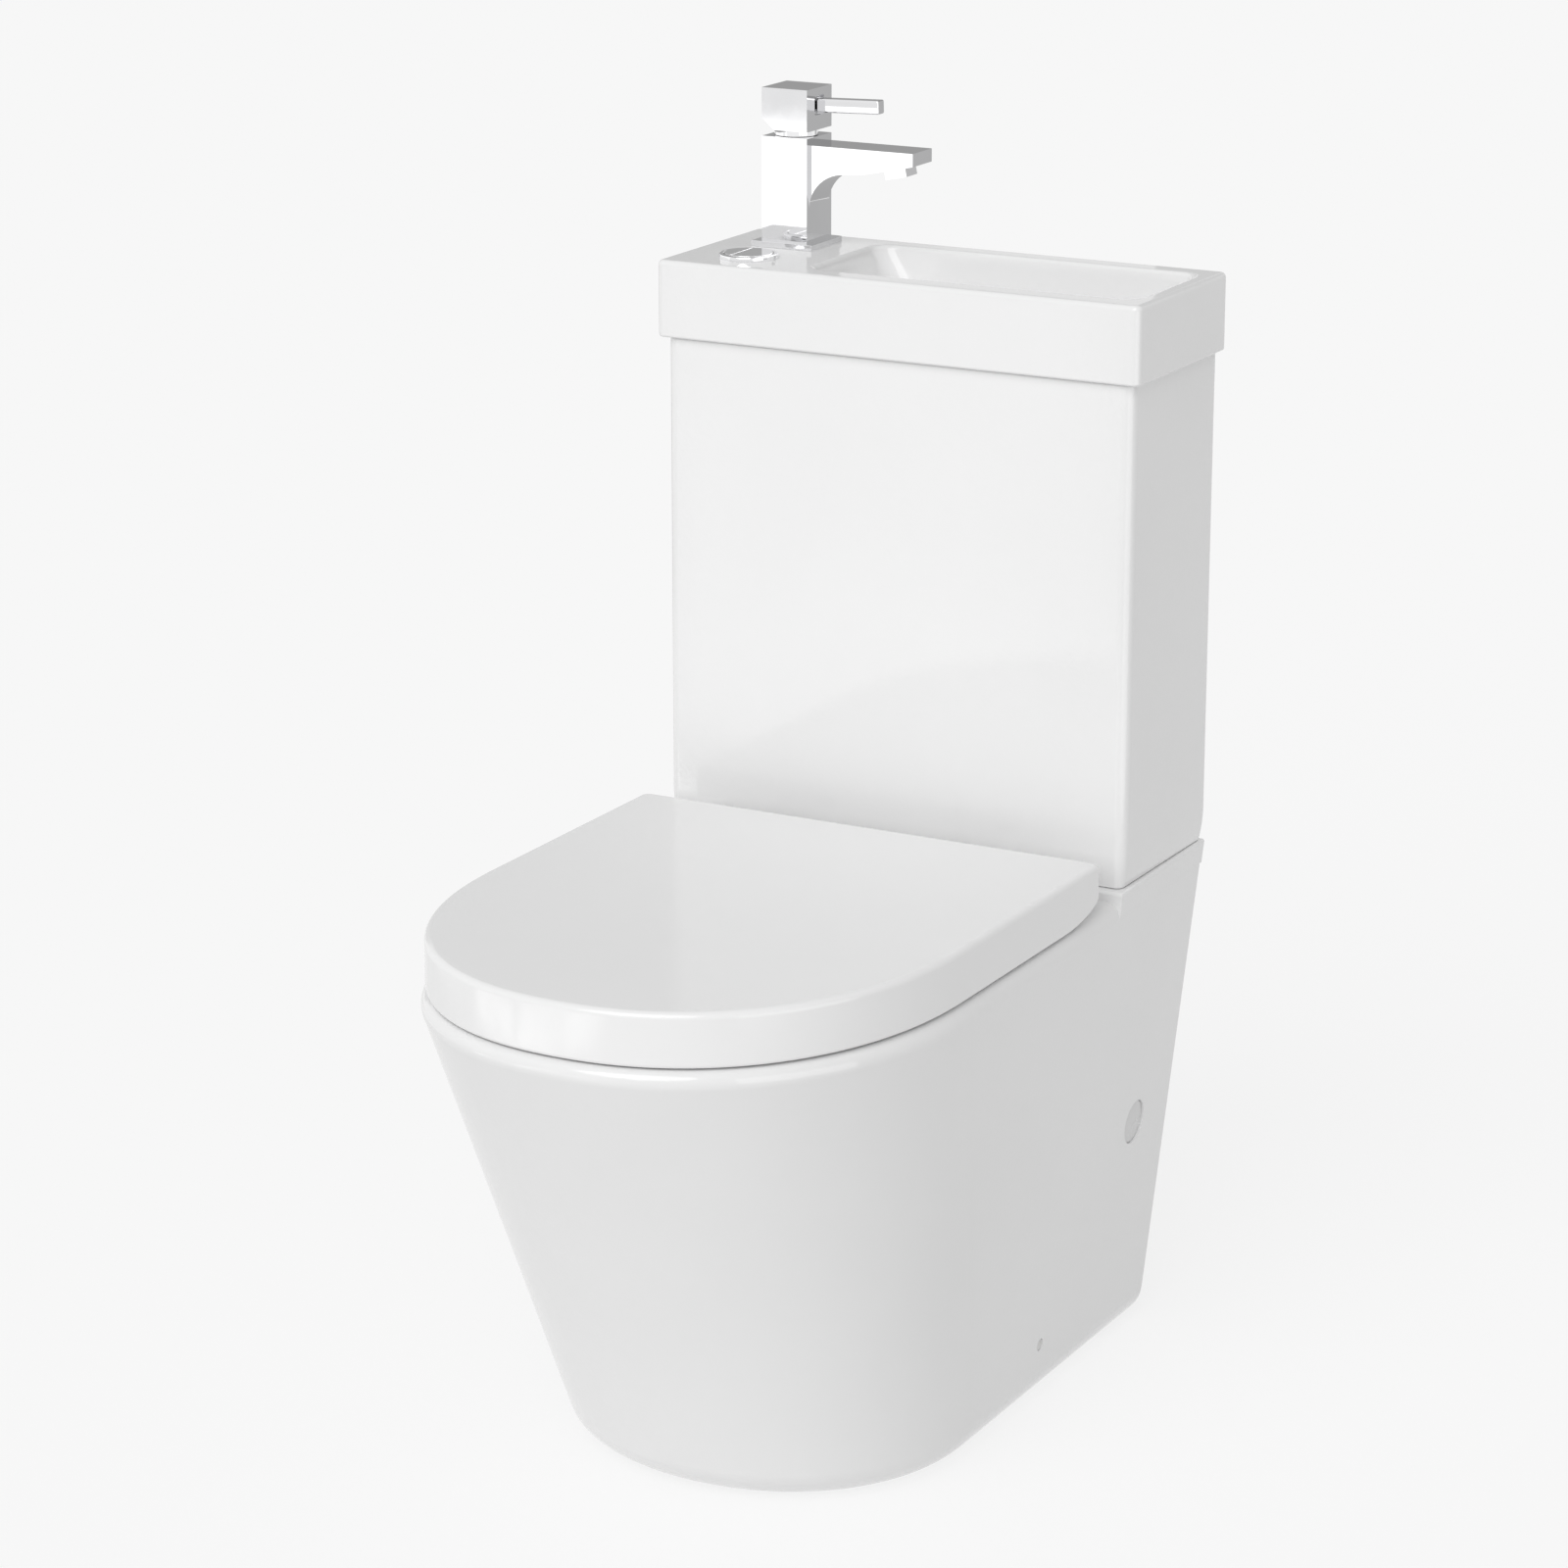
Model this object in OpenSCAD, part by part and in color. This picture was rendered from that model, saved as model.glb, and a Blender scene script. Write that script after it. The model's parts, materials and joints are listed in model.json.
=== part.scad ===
/* [Pan] */
// Depth of the whole unit, from the wall to the front of the pan
overall_d = 657.5; // [640:0.5:690]
// Height of the pan's rim above the floor
rim_z = 391; // [380:1:410]
// Half width of the pan at the rim, before its edge is rounded
pan_half_w = 201.4; // [197:0.2:206]
// Half width of the pan at the wall
pan_rear_half_w = 192; // [186:0.5:195]
// Half width of the pan at the floor
base_half_w = 155.4; // [148:0.2:162]
// Distance from the wall to the front of the pan at the floor
base_front = 475; // [450:1:500]
// How far the back edge leans forward at the floor
base_back = 20; // [10:1:30]
// Radius of the rim's outer edge
rim_r = 14; // [10:0.5:16]
// Radius of the foot's edge
foot_r = 27; // [18:1:32]
// Thickness of the pan's ceramic
pan_wall = 11; // [9:0.5:13]
// Height of the ledge that the cistern stands on, above the rim
ledge_h = 7.5; // [5:0.5:10]

/* [Bowl] */
// Half width of the bowl's mouth
bowl_half_w = 140; // [132:1:144]
// Distance from the wall to the back of the bowl's mouth
bowl_back = 234; // [230:1:240]
// Distance from the wall to the front of the bowl's mouth
bowl_front = 603; // [590:1:606]
// Height of the bowl's floor above the ground
sump_z = 55; // [50:1:62]
// Height of the middle of the soil outlet
outlet_z = 180; // [172:1:186]
// Outer radius of the soil spigot
outlet_r = 51; // [49:0.5:54]
// Bore radius of the soil spigot
outlet_bore_r = 43; // [40:0.5:45]
// Radius of the trap's waterway
trap_r = 40; // [36:0.5:41]

/* [Cistern] */
// Width of the cistern
cistern_w = 388; // [380:1:392]
// Depth of the cistern
cistern_d = 155; // [150:1:157]
// Height of the cistern
cistern_h = 382.5; // [370:0.5:400]
// Radius of the cistern's upright edges
cistern_r = 9; // [5:0.5:14]
// Thickness of the cistern's walls
cistern_wall = 9; // [7:0.5:10]
// Thickness of the cistern's floor
cistern_floor = 10; // [8:0.5:14]
// Gap between two ceramic pieces that stand on each other
joint_gap = 0.5; // [0.3:0.1:0.8]

/* [Basin] */
// How far the basin top stands out past each side of the cistern
basin_over = 6; // [4:0.5:11]
// Depth of the basin top
basin_d = 160; // [158:1:166]
// Height of the basin top
basin_h = 59; // [54:1:66]
// Radius of the basin top's edges
basin_r = 4; // [3:0.5:6]
// Width of the deck at the left of the bowl
deck_w = 118; // [116:0.5:120]
// Width of the rim at the right of the bowl
rim_right_w = 14; // [12:0.5:20]
// Width of the rim behind the bowl
rim_back_w = 20; // [16:0.5:24]
// Width of the rim in front of the bowl
rim_front_w = 23; // [18:0.5:28]
// Depth of the bowl
basin_depth = 60; // [52:1:62]
// Thickness of the basin's floor and deck
basin_wall = 10; // [8:0.5:12]

/* [Seat] */
// Half width of the seat lid
lid_half_w = 194; // [190:0.5:196]
// Distance from the wall to the back of the lid
lid_back = 194; // [192:0.5:196]
// Distance from the wall to the front of the lid
lid_front = 653.5; // [645:0.5:656]
// Thickness of the closed lid from its lower edge to its top
lid_h = 40; // [38:0.5:42]
// Wall thickness of the lid
lid_wall = 5; // [4:0.25:6]
// Radius of the lid's top edge
lid_r = 5; // [3:0.5:6]
// Gap between the lid's lower edge and the rim
lid_gap = 1.2; // [0.8:0.1:1.6]
// Height of the buffers under the seat ring
buffer_h = 6; // [5:0.5:7]
// Thickness of the seat ring
ring_h = 22; // [20:0.5:22.5]
// Distance between the two seat fixings
hinge_pitch = 155; // [150:1:160]
// How far the seat and lid swing open
seat_open = 93; // [85:0.5:93]

/* [Tap] */
// Distance of the tap from the basin's left end
tap_in = 61; // [59:0.5:64]
// Distance of the tap from the wall
tap_y = 49; // [46:0.5:52]
// Side of the tap's square column
column_w = 39; // [37:0.5:42]
// Height of the tap's column above the basin
column_top = 84.5; // [80:0.5:90]
// Reach of the spout from the column's middle
spout_reach = 107.5; // [100:0.5:116]
// Width of the spout
spout_w = 32; // [28:0.5:35]
// Height of the tap's head
head_h = 32; // [30:0.5:35]
// Length of the lever from the head's face
lever_len = 53; // [45:0.5:60]
// Thickness of the lever
lever_t = 10.5; // [8:0.5:12]

/* [Flush] */
// Distance of the button from the basin's left end
button_in = 58; // [55:0.5:61]
// Distance of the button from the wall
button_y = 120; // [117:0.5:121]
// Diameter of the button's chromed rim
bezel_dia = 45; // [43:0.5:48]
// How far a button travels
button_travel = 5; // [3:0.5:6]
// How far the valve lifts for each millimetre of the full button
lift_ratio = 3; // [2:0.5:3]
// Diameter of the flush outlet's shank
shank_dia = 58; // [54:1:60]
// Distance of the fill valve from the cistern's right side
fill_in = 59; // [54:1:66]
// How far the float rises
float_travel = 12; // [8:1:14]
// Height of the overflow above the cistern's floor
overflow_h = 285; // [260:1:295]

/* [Hidden] */

$fn = 64;
eps = 0.01;
// Running clearance on a pin's radius, and the looser gaps around moving and fixed pieces
run_gap = 0.05;
slide_gap = 0.3;
fit_gap = 0.2;

// Where the wall is, so that the origin lies under the middle of the unit's box
wall_y = overall_d / 2;
ledge_z = rim_z + ledge_h;
cistern_z = ledge_z + joint_gap;
cistern_top = cistern_z + cistern_h;
basin_z = cistern_top + joint_gap;
deck_z = basin_z + basin_h;
floor_z = cistern_z + cistern_floor;
valve_y = cistern_d / 2;

// The pan's outline at the rim, and the curve of its front, whose furthest point lies on the rounded edge
rim_lean = 22.5;
side_end = 418.6;
base_side_end = 322.9;
front_power = 2.18;
base_power = 2.09;
rim_front = base_front + rim_z * (overall_d - base_front + rim_r * (1 - cos(rim_lean)))
  / (rim_z - rim_r * (1 - sin(rim_lean)));
front_steps = 28;
corner_steps = 3;
rear_corner_r = 4;

// The seat's pivot
lid_z = rim_z + lid_gap;
lid_top = lid_z + lid_h;
hinge_y = lid_back + 12;
hinge_z = rim_z + 19;
knuckle_r = 6.5;
hinge_pin_r = 3.5;
post_w = 16;
ear_w = 18;
ring_z = rim_z + buffer_h;
ring_inset = lid_wall + 2.5;
ring_half_w = lid_half_w - ring_inset;
ring_front = lid_front - ring_inset;
ring_back = hinge_y + 10;
ring_hole_half_w = 116;
ring_hole_front = 572;
ring_hole_back = 264;

// The basin's width, and what stands on it and under it
basin_w = cistern_w + 2 * basin_over;
tap_x = basin_w / 2 - tap_in;
button_x = basin_w / 2 - button_in;
fill_x = cistern_w / 2 - fill_in;

// The basin's bowl
bowl_left = basin_w / 2 - deck_w;
bowl_right = basin_w / 2 - rim_right_w;
basin_bowl_w = bowl_left + bowl_right;
basin_bowl_x = (bowl_right - bowl_left) / 2;
basin_bowl_d = basin_d - rim_back_w - rim_front_w;
basin_bowl_y = rim_back_w + basin_bowl_d / 2;
basin_floor_z = deck_z - basin_depth;
waste_hole_r = 23;
tap_hole_r = 17.5;
button_hole_r = 20.5;

// A closed line with a square back and a curved front, clockwise seen from above
function d_line(hw, hwr, back, rc, side, front, power) = concat(
  [for (i = [0:front_steps]) let (t = 180 * i / front_steps, c = cos(t), s = sin(t))
    [hw * sign(c) * pow(abs(c), 2 / power), -side - (front - side) * pow(abs(s), 2 / power)]],
  [for (i = [0:corner_steps]) let (t = 90 * i / corner_steps)
    [-hwr + rc - rc * cos(t), -back - rc + rc * sin(t)]],
  [for (i = [0:corner_steps]) let (t = 90 * i / corner_steps)
    [hwr - rc + rc * sin(t), -back - rc + rc * cos(t)]]);

// A rectangle with rounded corners, clockwise seen from above
function round_rect(w, d, r, n = 6) = [for (k = [0:3]) for (i = [0:n])
  let (a = 90 - 90 * k - 90 * i / n, sx = k < 2 ? 1 : -1, sy = (k == 0 || k == 3) ? 1 : -1)
  [sx * (w / 2 - r) + r * cos(a), sy * (d / 2 - r) + r * sin(a)]];

function at_z(line, z) = [for (p = line) [p[0], p[1], z]];
function moved(line, dx, dy) = [for (p = line) [p[0] + dx, p[1] + dy]];

// A closed solid through a stack of lines that have the same number of points
module skin(rings) {
  n = len(rings[0]);
  last = len(rings) - 1;
  polyhedron(
    points = [for (r = rings) for (p = r) p],
    faces = concat(
      [[for (i = [n - 1:-1:0]) i]],
      [for (k = [0:last - 1]) for (i = [0:n - 1]) let (a = k * n, b = a + n, j = (i + 1) % n)
        [a + i, a + j, b + j]],
      [for (k = [0:last - 1]) for (i = [0:n - 1]) let (a = k * n, b = a + n, j = (i + 1) % n)
        [a + i, b + j, b + i]],
      [[for (i = [0:n - 1]) last * n + i]]));
}

module at_wall() {
  translate([0, wall_y, 0]) children();
}

module both_sides() {
  children();
  mirror([1, 0, 0]) children();
}

// A round bar or hole from a point, along X, Y or Z
module bar_x(p, r, l) {
  translate(p) rotate([0, 90, 0]) cylinder(r = r, h = l);
}

module bar_y(p, r, l) {
  translate(p) rotate([-90, 0, 0]) cylinder(r = r, h = l);
}

module bar_z(p, r, l) {
  translate(p) cylinder(r = r, h = l);
}

module tube_z(p, r_out, r_in, l) {
  translate(p) difference() {
    cylinder(r = r_out, h = l);
    translate([0, 0, -1]) cylinder(r = r_in, h = l + 2);
  }
}

module hex_nut(p, across, bore_r, l) {
  translate(p) difference() {
    cylinder(r = across / sqrt(3), h = l, $fn = 6);
    translate([0, 0, -1]) cylinder(r = bore_r, h = l + 2);
  }
}

// The pan's outer line at a height, drawn in by an inset
function pan_line(z, inset = 0, back_inset = undef) =
  let (t = z / rim_z, bi = is_undef(back_inset) ? inset : back_inset)
  d_line(base_half_w + (pan_half_w - base_half_w) * t - inset,
    base_half_w + (pan_rear_half_w - base_half_w) * t - inset,
    base_back * (1 - z / ledge_z) + bi,
    rear_corner_r,
    base_side_end + (side_end - base_side_end) * t,
    base_front + (rim_front - base_front) * t - inset,
    base_power + (front_power - base_power) * t);

// The bowl's line: share of the mouth's half width, back and front from the wall, and the height
bowl_steps = [
  [0.93, 4, -14, 0.82],
  [0.78, 14, -58, 0.62],
  [0.60, 30, -110, 0.46],
  [0.46, 46, -148, 0.36],
  [0.36, 56, -176, 0.24],
  [0.31, 64, -200, 0.11]];
bowl_corner = 0.62;

function bowl_line(k, grow) = let (s = bowl_steps[k], hw = bowl_half_w * s[0] + grow,
    back = bowl_back + s[1] - grow, front = bowl_front + s[2] + grow)
  d_line(hw, hw, back, bowl_corner * hw, (back + front) / 2, front, 2.1);

function bowl_mouth(grow) = let (hw = bowl_half_w + grow)
  d_line(hw, hw, bowl_back - grow, bowl_corner * hw, 400, bowl_front + grow, front_power);

function bowl_floor(grow) = let (hw = bowl_half_w * 0.2 + grow,
    back = bowl_back + 74 - grow, front = bowl_front - 216 + grow)
  d_line(hw, hw, back, bowl_corner * hw, (back + front) / 2, front, 2.1);

function bowl_height(k) = sump_z + (rim_z - sump_z) * bowl_steps[k][3];

slab_z = rim_z - pan_wall - 2;
mouth_r = 8;
wall_steps = [0, 22.5, 45, 67.5, 90];

pan_rings = concat(
  [at_z(bowl_floor(pan_wall), sump_z - pan_wall)],
  [for (k = [len(bowl_steps) - 1:-1:0]) at_z(bowl_line(k, pan_wall), bowl_height(k) - pan_wall * 0.4)],
  [at_z(bowl_mouth(pan_wall), slab_z)],
  [at_z(pan_line(slab_z, pan_wall), slab_z)],
  [at_z(pan_line(foot_r * 1.6, pan_wall), foot_r * 1.6)],
  [at_z(pan_line(foot_r * 0.6, foot_r + pan_wall * 0.5), foot_r * 0.6)],
  [at_z(pan_line(0, foot_r + pan_wall), 0)],
  [for (a = wall_steps) let (z = foot_r * (1 - cos(a))) at_z(pan_line(z, foot_r * (1 - sin(a)), 0), z)],
  [for (a = wall_steps) let (z = rim_z - rim_r * (1 - sin(a))) at_z(pan_line(z, rim_r * (1 - cos(a)), 0), z)],
  [at_z(bowl_mouth(mouth_r), rim_z)],
  [at_z(bowl_mouth(mouth_r * 0.3), rim_z - mouth_r * 0.3)],
  [at_z(bowl_mouth(0), rim_z - mouth_r)],
  [for (k = [0:len(bowl_steps) - 1]) at_z(bowl_line(k, 0), bowl_height(k))],
  [at_z(bowl_floor(0), sump_z)]);

// The trap's route: distance from the wall and height of its middle
trap_in_z = sump_z + trap_r;
weir_z = outlet_z + 44;
spigot_out = 30;
trap_turn = 60;
trap_rise = 60;
trap_fall = acos(1 - (weir_z - outlet_z) / (2 * trap_turn));
trap_start = 304;
trap_end = 66;
spigot_in = trap_end + 1;
weir_y = trap_end + 2 * trap_turn * sin(trap_fall);
trap_route = concat(
  [for (a = [0:15:trap_rise]) [trap_start - trap_turn * sin(a), trap_in_z + trap_turn * (1 - cos(a))]],
  [for (k = [0:8]) let (a = trap_rise - (trap_rise + trap_fall) * k / 8)
    [weir_y + trap_turn * sin(a), weir_z - trap_turn * (1 - cos(a))]],
  [for (k = [1:4]) let (a = trap_fall * (1 - k / 4))
    [trap_end + trap_turn * sin(a), outlet_z + trap_turn * (1 - cos(a))]],
  [[trap_end - 4, outlet_z]]);
trap_sides = 20;

// Rings square to a route in the middle plane
function route_way(route, i) = let (a = route[max(i - 1, 0)], b = route[min(i + 1, len(route) - 1)],
    v = [a[0] - b[0], b[1] - a[1]]) v / norm(v);
function route_rings(route, r) = [for (i = [0:len(route) - 1]) let (w = route_way(route, i))
  [for (k = [0:trap_sides - 1]) let (a = 360 * k / trap_sides)
    [r * cos(a), -route[i][0] - w[1] * r * sin(a), route[i][1] + w[0] * r * sin(a)]]];

inlet_recess_r = 54;
inlet_r = 30;
chamber_z = rim_z - 73;
coupling_x = 90;
coupling_hole_r = 6;
notch_in = 105;
notch_out = 165;
notch_d = 100;
cap_y = 79.5;
cap_z = 188;
cap_r = 17.5;
screw_y = 216;
screw_z = 51;
screw_hole_r = 5;
seat_bolt_y = 177;
seat_bolt_r = 3;
ledge_front = cistern_d + 5;
wall_lean = atan((pan_rear_half_w - base_half_w) / rim_z);
wall_run = (cap_y - base_back * (1 - cap_z / ledge_z)) / (side_end - base_side_end * (1 - cap_z / rim_z));
cap_x = base_half_w + (pan_rear_half_w - base_half_w) * cap_z / rim_z
  + (pan_half_w - pan_rear_half_w) * cap_z / rim_z * wall_run;
cap_recess = 2;
cap_t = 3;
screw_seat_x = base_half_w;
side_screw_r = 3;
screw_cap_t = 4.4;

module pan_shell() {
  difference() {
    skin(pan_rings);
    // open back, for the pipework
    translate([-148, -72, -1]) cube([296, 74, 336]);
  }
}

// The ledge continues the taper of the pan's sides up to the cistern
module pan_ledge() {
  top_w = base_half_w + (pan_rear_half_w - base_half_w) * ledge_z / rim_z;
  grow = (pan_half_w - pan_rear_half_w) * ledge_front / side_end;
  low = slab_z + 1;
  low_w = base_half_w + (pan_rear_half_w - base_half_w) * low / rim_z;
  back_low = base_back * (1 - low / ledge_z);
  skin([
    [[low_w + grow, -ledge_front, low], [-low_w - grow, -ledge_front, low],
      [-low_w, -back_low, low], [low_w, -back_low, low]],
    [[top_w + grow, -ledge_front, ledge_z - 2], [-top_w - grow, -ledge_front, ledge_z - 2],
      [-top_w, 0, ledge_z - 2], [top_w, 0, ledge_z - 2]],
    [[top_w + grow - 1, -ledge_front + 1, ledge_z], [-top_w - grow + 1, -ledge_front + 1, ledge_z],
      [-top_w + 1, 0, ledge_z], [top_w - 1, 0, ledge_z]]]);
}

module sump_space() {
  low = len(bowl_steps) - 1;
  skin([
    at_z(bowl_floor(-0.6), sump_z + 0.6),
    at_z(bowl_line(low, -0.6), bowl_height(low)),
    at_z(bowl_line(low - 1, -0.6), bowl_height(low - 1)),
    at_z(bowl_line(low - 2, -0.6), bowl_height(low - 2))]);
}

module pan() {
  color("white") at_wall() difference() {
    union() {
      pan_shell();
      pan_ledge();
      skin(route_rings(trap_route, trap_r + pan_wall - 0.5));
      bar_y([0, -spigot_in, outlet_z], outlet_r, spigot_in - spigot_out);
      // flush chamber under the slab, from the inlet to the back of the bowl
      translate([-62, -bowl_back - 4, chamber_z]) cube([124, bowl_back - 10, rim_z - chamber_z - 4]);
    }
    sump_space();
    skin(route_rings(trap_route, trap_r));
    bar_y([0, -spigot_in - 1, outlet_z], outlet_bore_r, spigot_in - spigot_out + 2);
    bar_z([0, -valve_y, ledge_z - 34], inlet_recess_r, 40);
    bar_z([0, -valve_y, chamber_z + 10], inlet_r, 60);
    translate([-40, -bowl_back - 12, chamber_z + 10]) cube([80, bowl_back + 12 - valve_y, 34]);
    both_sides() {
      bar_z([coupling_x, -valve_y, slab_z - 2], coupling_hole_r, 30);
      translate([notch_in, -notch_d, slab_z - 2]) cube([notch_out - notch_in, notch_d + 1, 40]);
      bar_z([hinge_pitch / 2, -seat_bolt_y, slab_z - 2], seat_bolt_r + 2.5, 30);
      bar_x([screw_seat_x - 20, -screw_y, screw_z], side_screw_r + slide_gap, 30);
      bar_x([screw_seat_x, -screw_y, screw_z], screw_hole_r, 40);
      translate([cap_x, -cap_y, cap_z]) rotate([0, 90 + wall_lean, 0]) {
        bar_z([0, 0, -cap_recess - cap_t], cap_r, 30);
        bar_z([0, 0, -30], cap_r - 3, 40);
      }
    }
  }
}

module cistern() {
  color("white") at_wall() difference() {
    translate([0, -cistern_d / 2, cistern_z])
      linear_extrude(cistern_h) polygon(round_rect(cistern_w, cistern_d, cistern_r));
    translate([0, -cistern_d / 2, floor_z])
      linear_extrude(cistern_h)
        polygon(round_rect(cistern_w - 2 * cistern_wall, cistern_d - 2 * cistern_wall, 5));
    bar_z([0, -valve_y, cistern_z - 1], shank_dia / 2 + 1.5, cistern_floor + 2);
    bar_z([fill_x, -valve_y, cistern_z - 1], fill_shank_r + 1, cistern_floor + 2);
    both_sides() {
      bar_z([coupling_x, -valve_y, cistern_z - 1], coupling_hole_r, cistern_floor + 2);
      bar_y([wall_hole_x, -cistern_wall - 1, cistern_top - 45], wall_hole_r, cistern_wall + 2);
    }
    // notch in the back of the mouth, for the tap's supplies
    translate([-tap_x - 24, -cistern_wall - 1, cistern_top - 24]) cube([48, cistern_wall + 2, 25]);
  }
}

wall_hole_x = 120;
wall_hole_r = 4;
fill_shank_r = 10.5;
locate_gap = 2;
rib_t = 6;
rib_h = 8;
pocket_w = basin_w / 2 - bowl_left - 22;

function bowl_ring(shrink_l, shrink_r, shrink_y, r) =
  moved(round_rect(basin_bowl_w - shrink_l - shrink_r, basin_bowl_d - shrink_y, r),
    basin_bowl_x + (shrink_l - shrink_r) / 2, -basin_bowl_y);

module basin() {
  lip = 3;
  belly_z = basin_floor_z - basin_wall;
  mouth_w = cistern_w - 2 * cistern_wall - 2 * locate_gap;
  mouth_d = cistern_d - 2 * cistern_wall - 2 * locate_gap;
  color("white") at_wall() difference() {
    union() {
      translate([0, -basin_d / 2, 0]) skin([
        at_z(round_rect(basin_w - basin_r, basin_d - basin_r, basin_r), basin_z),
        at_z(round_rect(basin_w, basin_d, basin_r), basin_z + basin_r / 2),
        at_z(round_rect(basin_w, basin_d, basin_r), deck_z - basin_r),
        at_z(round_rect(basin_w - basin_r * 0.6, basin_d - basin_r * 0.6, basin_r), deck_z - basin_r * 0.3),
        at_z(round_rect(basin_w - 2 * basin_r, basin_d - 2 * basin_r, basin_r), deck_z)]);
      // rib that drops into the cistern's mouth
      translate([0, -cistern_d / 2, basin_z - rib_h]) linear_extrude(rib_h + 1) difference() {
        polygon(round_rect(mouth_w, mouth_d, 5));
        polygon(round_rect(mouth_w - 2 * rib_t, mouth_d - 2 * rib_t, 3));
        translate([-basin_w / 2, -basin_d / 2]) square([pocket_w + 12, basin_d]);
      }
      translate([basin_bowl_x, -basin_bowl_y, belly_z])
        linear_extrude(basin_wall * 2) polygon(round_rect(basin_bowl_w - 50, basin_bowl_d - 24, 20));
    }
    skin([
      at_z(bowl_ring(76, 60, 54, 14), basin_floor_z),
      at_z(bowl_ring(44, 30, 30, 20), basin_floor_z + 4),
      at_z(bowl_ring(26, 14, 12, 20), basin_floor_z + 16),
      at_z(bowl_ring(0, 0, 0, 16), deck_z - lip),
      at_z(bowl_ring(-lip, -lip, -2 * lip, 18), deck_z),
      at_z(bowl_ring(-lip, -lip, -2 * lip, 18), deck_z + 1)]);
    // pocket under the deck that carries the tap and the button
    translate([-basin_w / 2 + 12, -basin_d + 12, basin_z - 1])
      cube([pocket_w, basin_d - 26, basin_h - basin_wall + 1]);
    bar_z([basin_bowl_x, -basin_bowl_y, belly_z - 1], waste_hole_r, basin_wall * 3);
    bar_z([-tap_x, -tap_y, deck_z - basin_wall - 1], tap_hole_r, basin_wall + 2);
    bar_z([-button_x, -button_y, deck_z - basin_wall - 1], button_hole_r, basin_wall + 2);
  }
}

// The two ears of one hinge: the ring's on the inner side of the post and the lid's on the outer side
ear_gap = 0.5;
post_in = hinge_pitch / 2 - post_w / 2;
post_out = hinge_pitch / 2 + post_w / 2;

module ring_ear() {
  x = post_in - ear_gap - ear_w;
  difference() {
    union() {
      bar_x([x, -hinge_y, hinge_z], knuckle_r, ear_w);
      translate([x, -ring_back - 6, hinge_z - 2]) cube([ear_w, ring_back + 6 - hinge_y, knuckle_r + 2 - 1]);
    }
    bar_x([x - 1, -hinge_y, hinge_z], hinge_pin_r + run_gap, ear_w + 2);
  }
}

module seat_ring() {
  color("white") at_wall() {
    translate([0, 0, ring_z]) linear_extrude(ring_h) difference() {
      polygon(d_line(ring_half_w, ring_half_w, ring_back, 20, side_end, ring_front, front_power));
      polygon(d_line(ring_hole_half_w, ring_hole_half_w, ring_hole_back, 70, 420, ring_hole_front, 2.1));
    }
    both_sides() ring_ear();
  }
}

// The lower back corner of the lid is swept up so that it clears the pan as it swings
sweep_l = 60;
sweep_h = 17;
notch_side = 1.5;

module lid_ear() {
  x = post_out + ear_gap;
  difference() {
    union() {
      bar_x([x, -hinge_y, hinge_z], knuckle_r, ear_w);
      translate([x, -hinge_y - knuckle_r, hinge_z])
        cube([ear_w, 2 * knuckle_r, lid_top - lid_wall + 1 - hinge_z]);
    }
    bar_x([x - 1, -hinge_y, hinge_z], hinge_pin_r + run_gap, ear_w + 2);
  }
}

module seat_lid() {
  inner_half = lid_half_w - lid_wall;
  function lid_line(inset, rc) =
    d_line(lid_half_w - inset, lid_half_w - inset, lid_back + inset, rc, side_end, lid_front - inset,
      front_power);
  color("white") at_wall() {
    difference() {
      skin([
        at_z(lid_line(0, 5), lid_z),
        at_z(lid_line(0, 5), lid_top - lid_r),
        at_z(lid_line(lid_r * 0.13, 5), lid_top - lid_r * 0.5),
        at_z(lid_line(lid_r * 0.5, 5), lid_top - lid_r * 0.13),
        at_z(lid_line(lid_r, 5), lid_top)]);
      skin([at_z(lid_line(lid_wall, 3), lid_z - 1), at_z(lid_line(lid_wall, 3), lid_top - lid_wall)]);
      translate([-lid_half_w - 1, 0, 0]) rotate([90, 0, 90]) linear_extrude(2 * lid_half_w + 2)
        polygon(concat([[-lid_back + 1, lid_z - 1], [-lid_back + 1, lid_z + sweep_h]],
        [for (i = [0:8]) let (a = 90 * i / 8)
          [-lid_back - sweep_l + sweep_l * cos(a), lid_z + sweep_h - sweep_h * sin(a)]],
        [[-lid_back - sweep_l, lid_z - 1]]));
      both_sides() translate([post_in - notch_side, -lid_back - lid_wall - 1, lid_z])
        cube([post_w + 2 * notch_side, lid_wall + 2, lid_h - lid_wall - 4]);
    }
    both_sides() lid_ear();
  }
}

// The ring's buffers stand near its edge and the lid's a little further in
buffer_r = 8;
buffer_y = hinge_y + 114;
buffer_in = 20.5;
buffer_front_in = 44;
buffer_front_x = 0.48 * ring_half_w;
lid_buffer_in = buffer_in + 2 * buffer_r;
lid_buffer_front_x = buffer_front_x - 10;
module seat_buffers() {
  color("gainsboro") at_wall() both_sides() {
    bar_z([ring_half_w - buffer_in, -buffer_y, rim_z], buffer_r, buffer_h);
    bar_z([buffer_front_x, buffer_front_in - ring_front, rim_z], buffer_r, buffer_h);
  }
}

module lid_buffers() {
  low = ring_z + ring_h;
  high = lid_top - lid_wall;
  color("gainsboro") at_wall() both_sides() {
    bar_z([ring_half_w - lid_buffer_in, -buffer_y, low], buffer_r, high - low);
    bar_z([lid_buffer_front_x, buffer_front_in + 12 - ring_front, low], buffer_r, high - low);
  }
}

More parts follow.
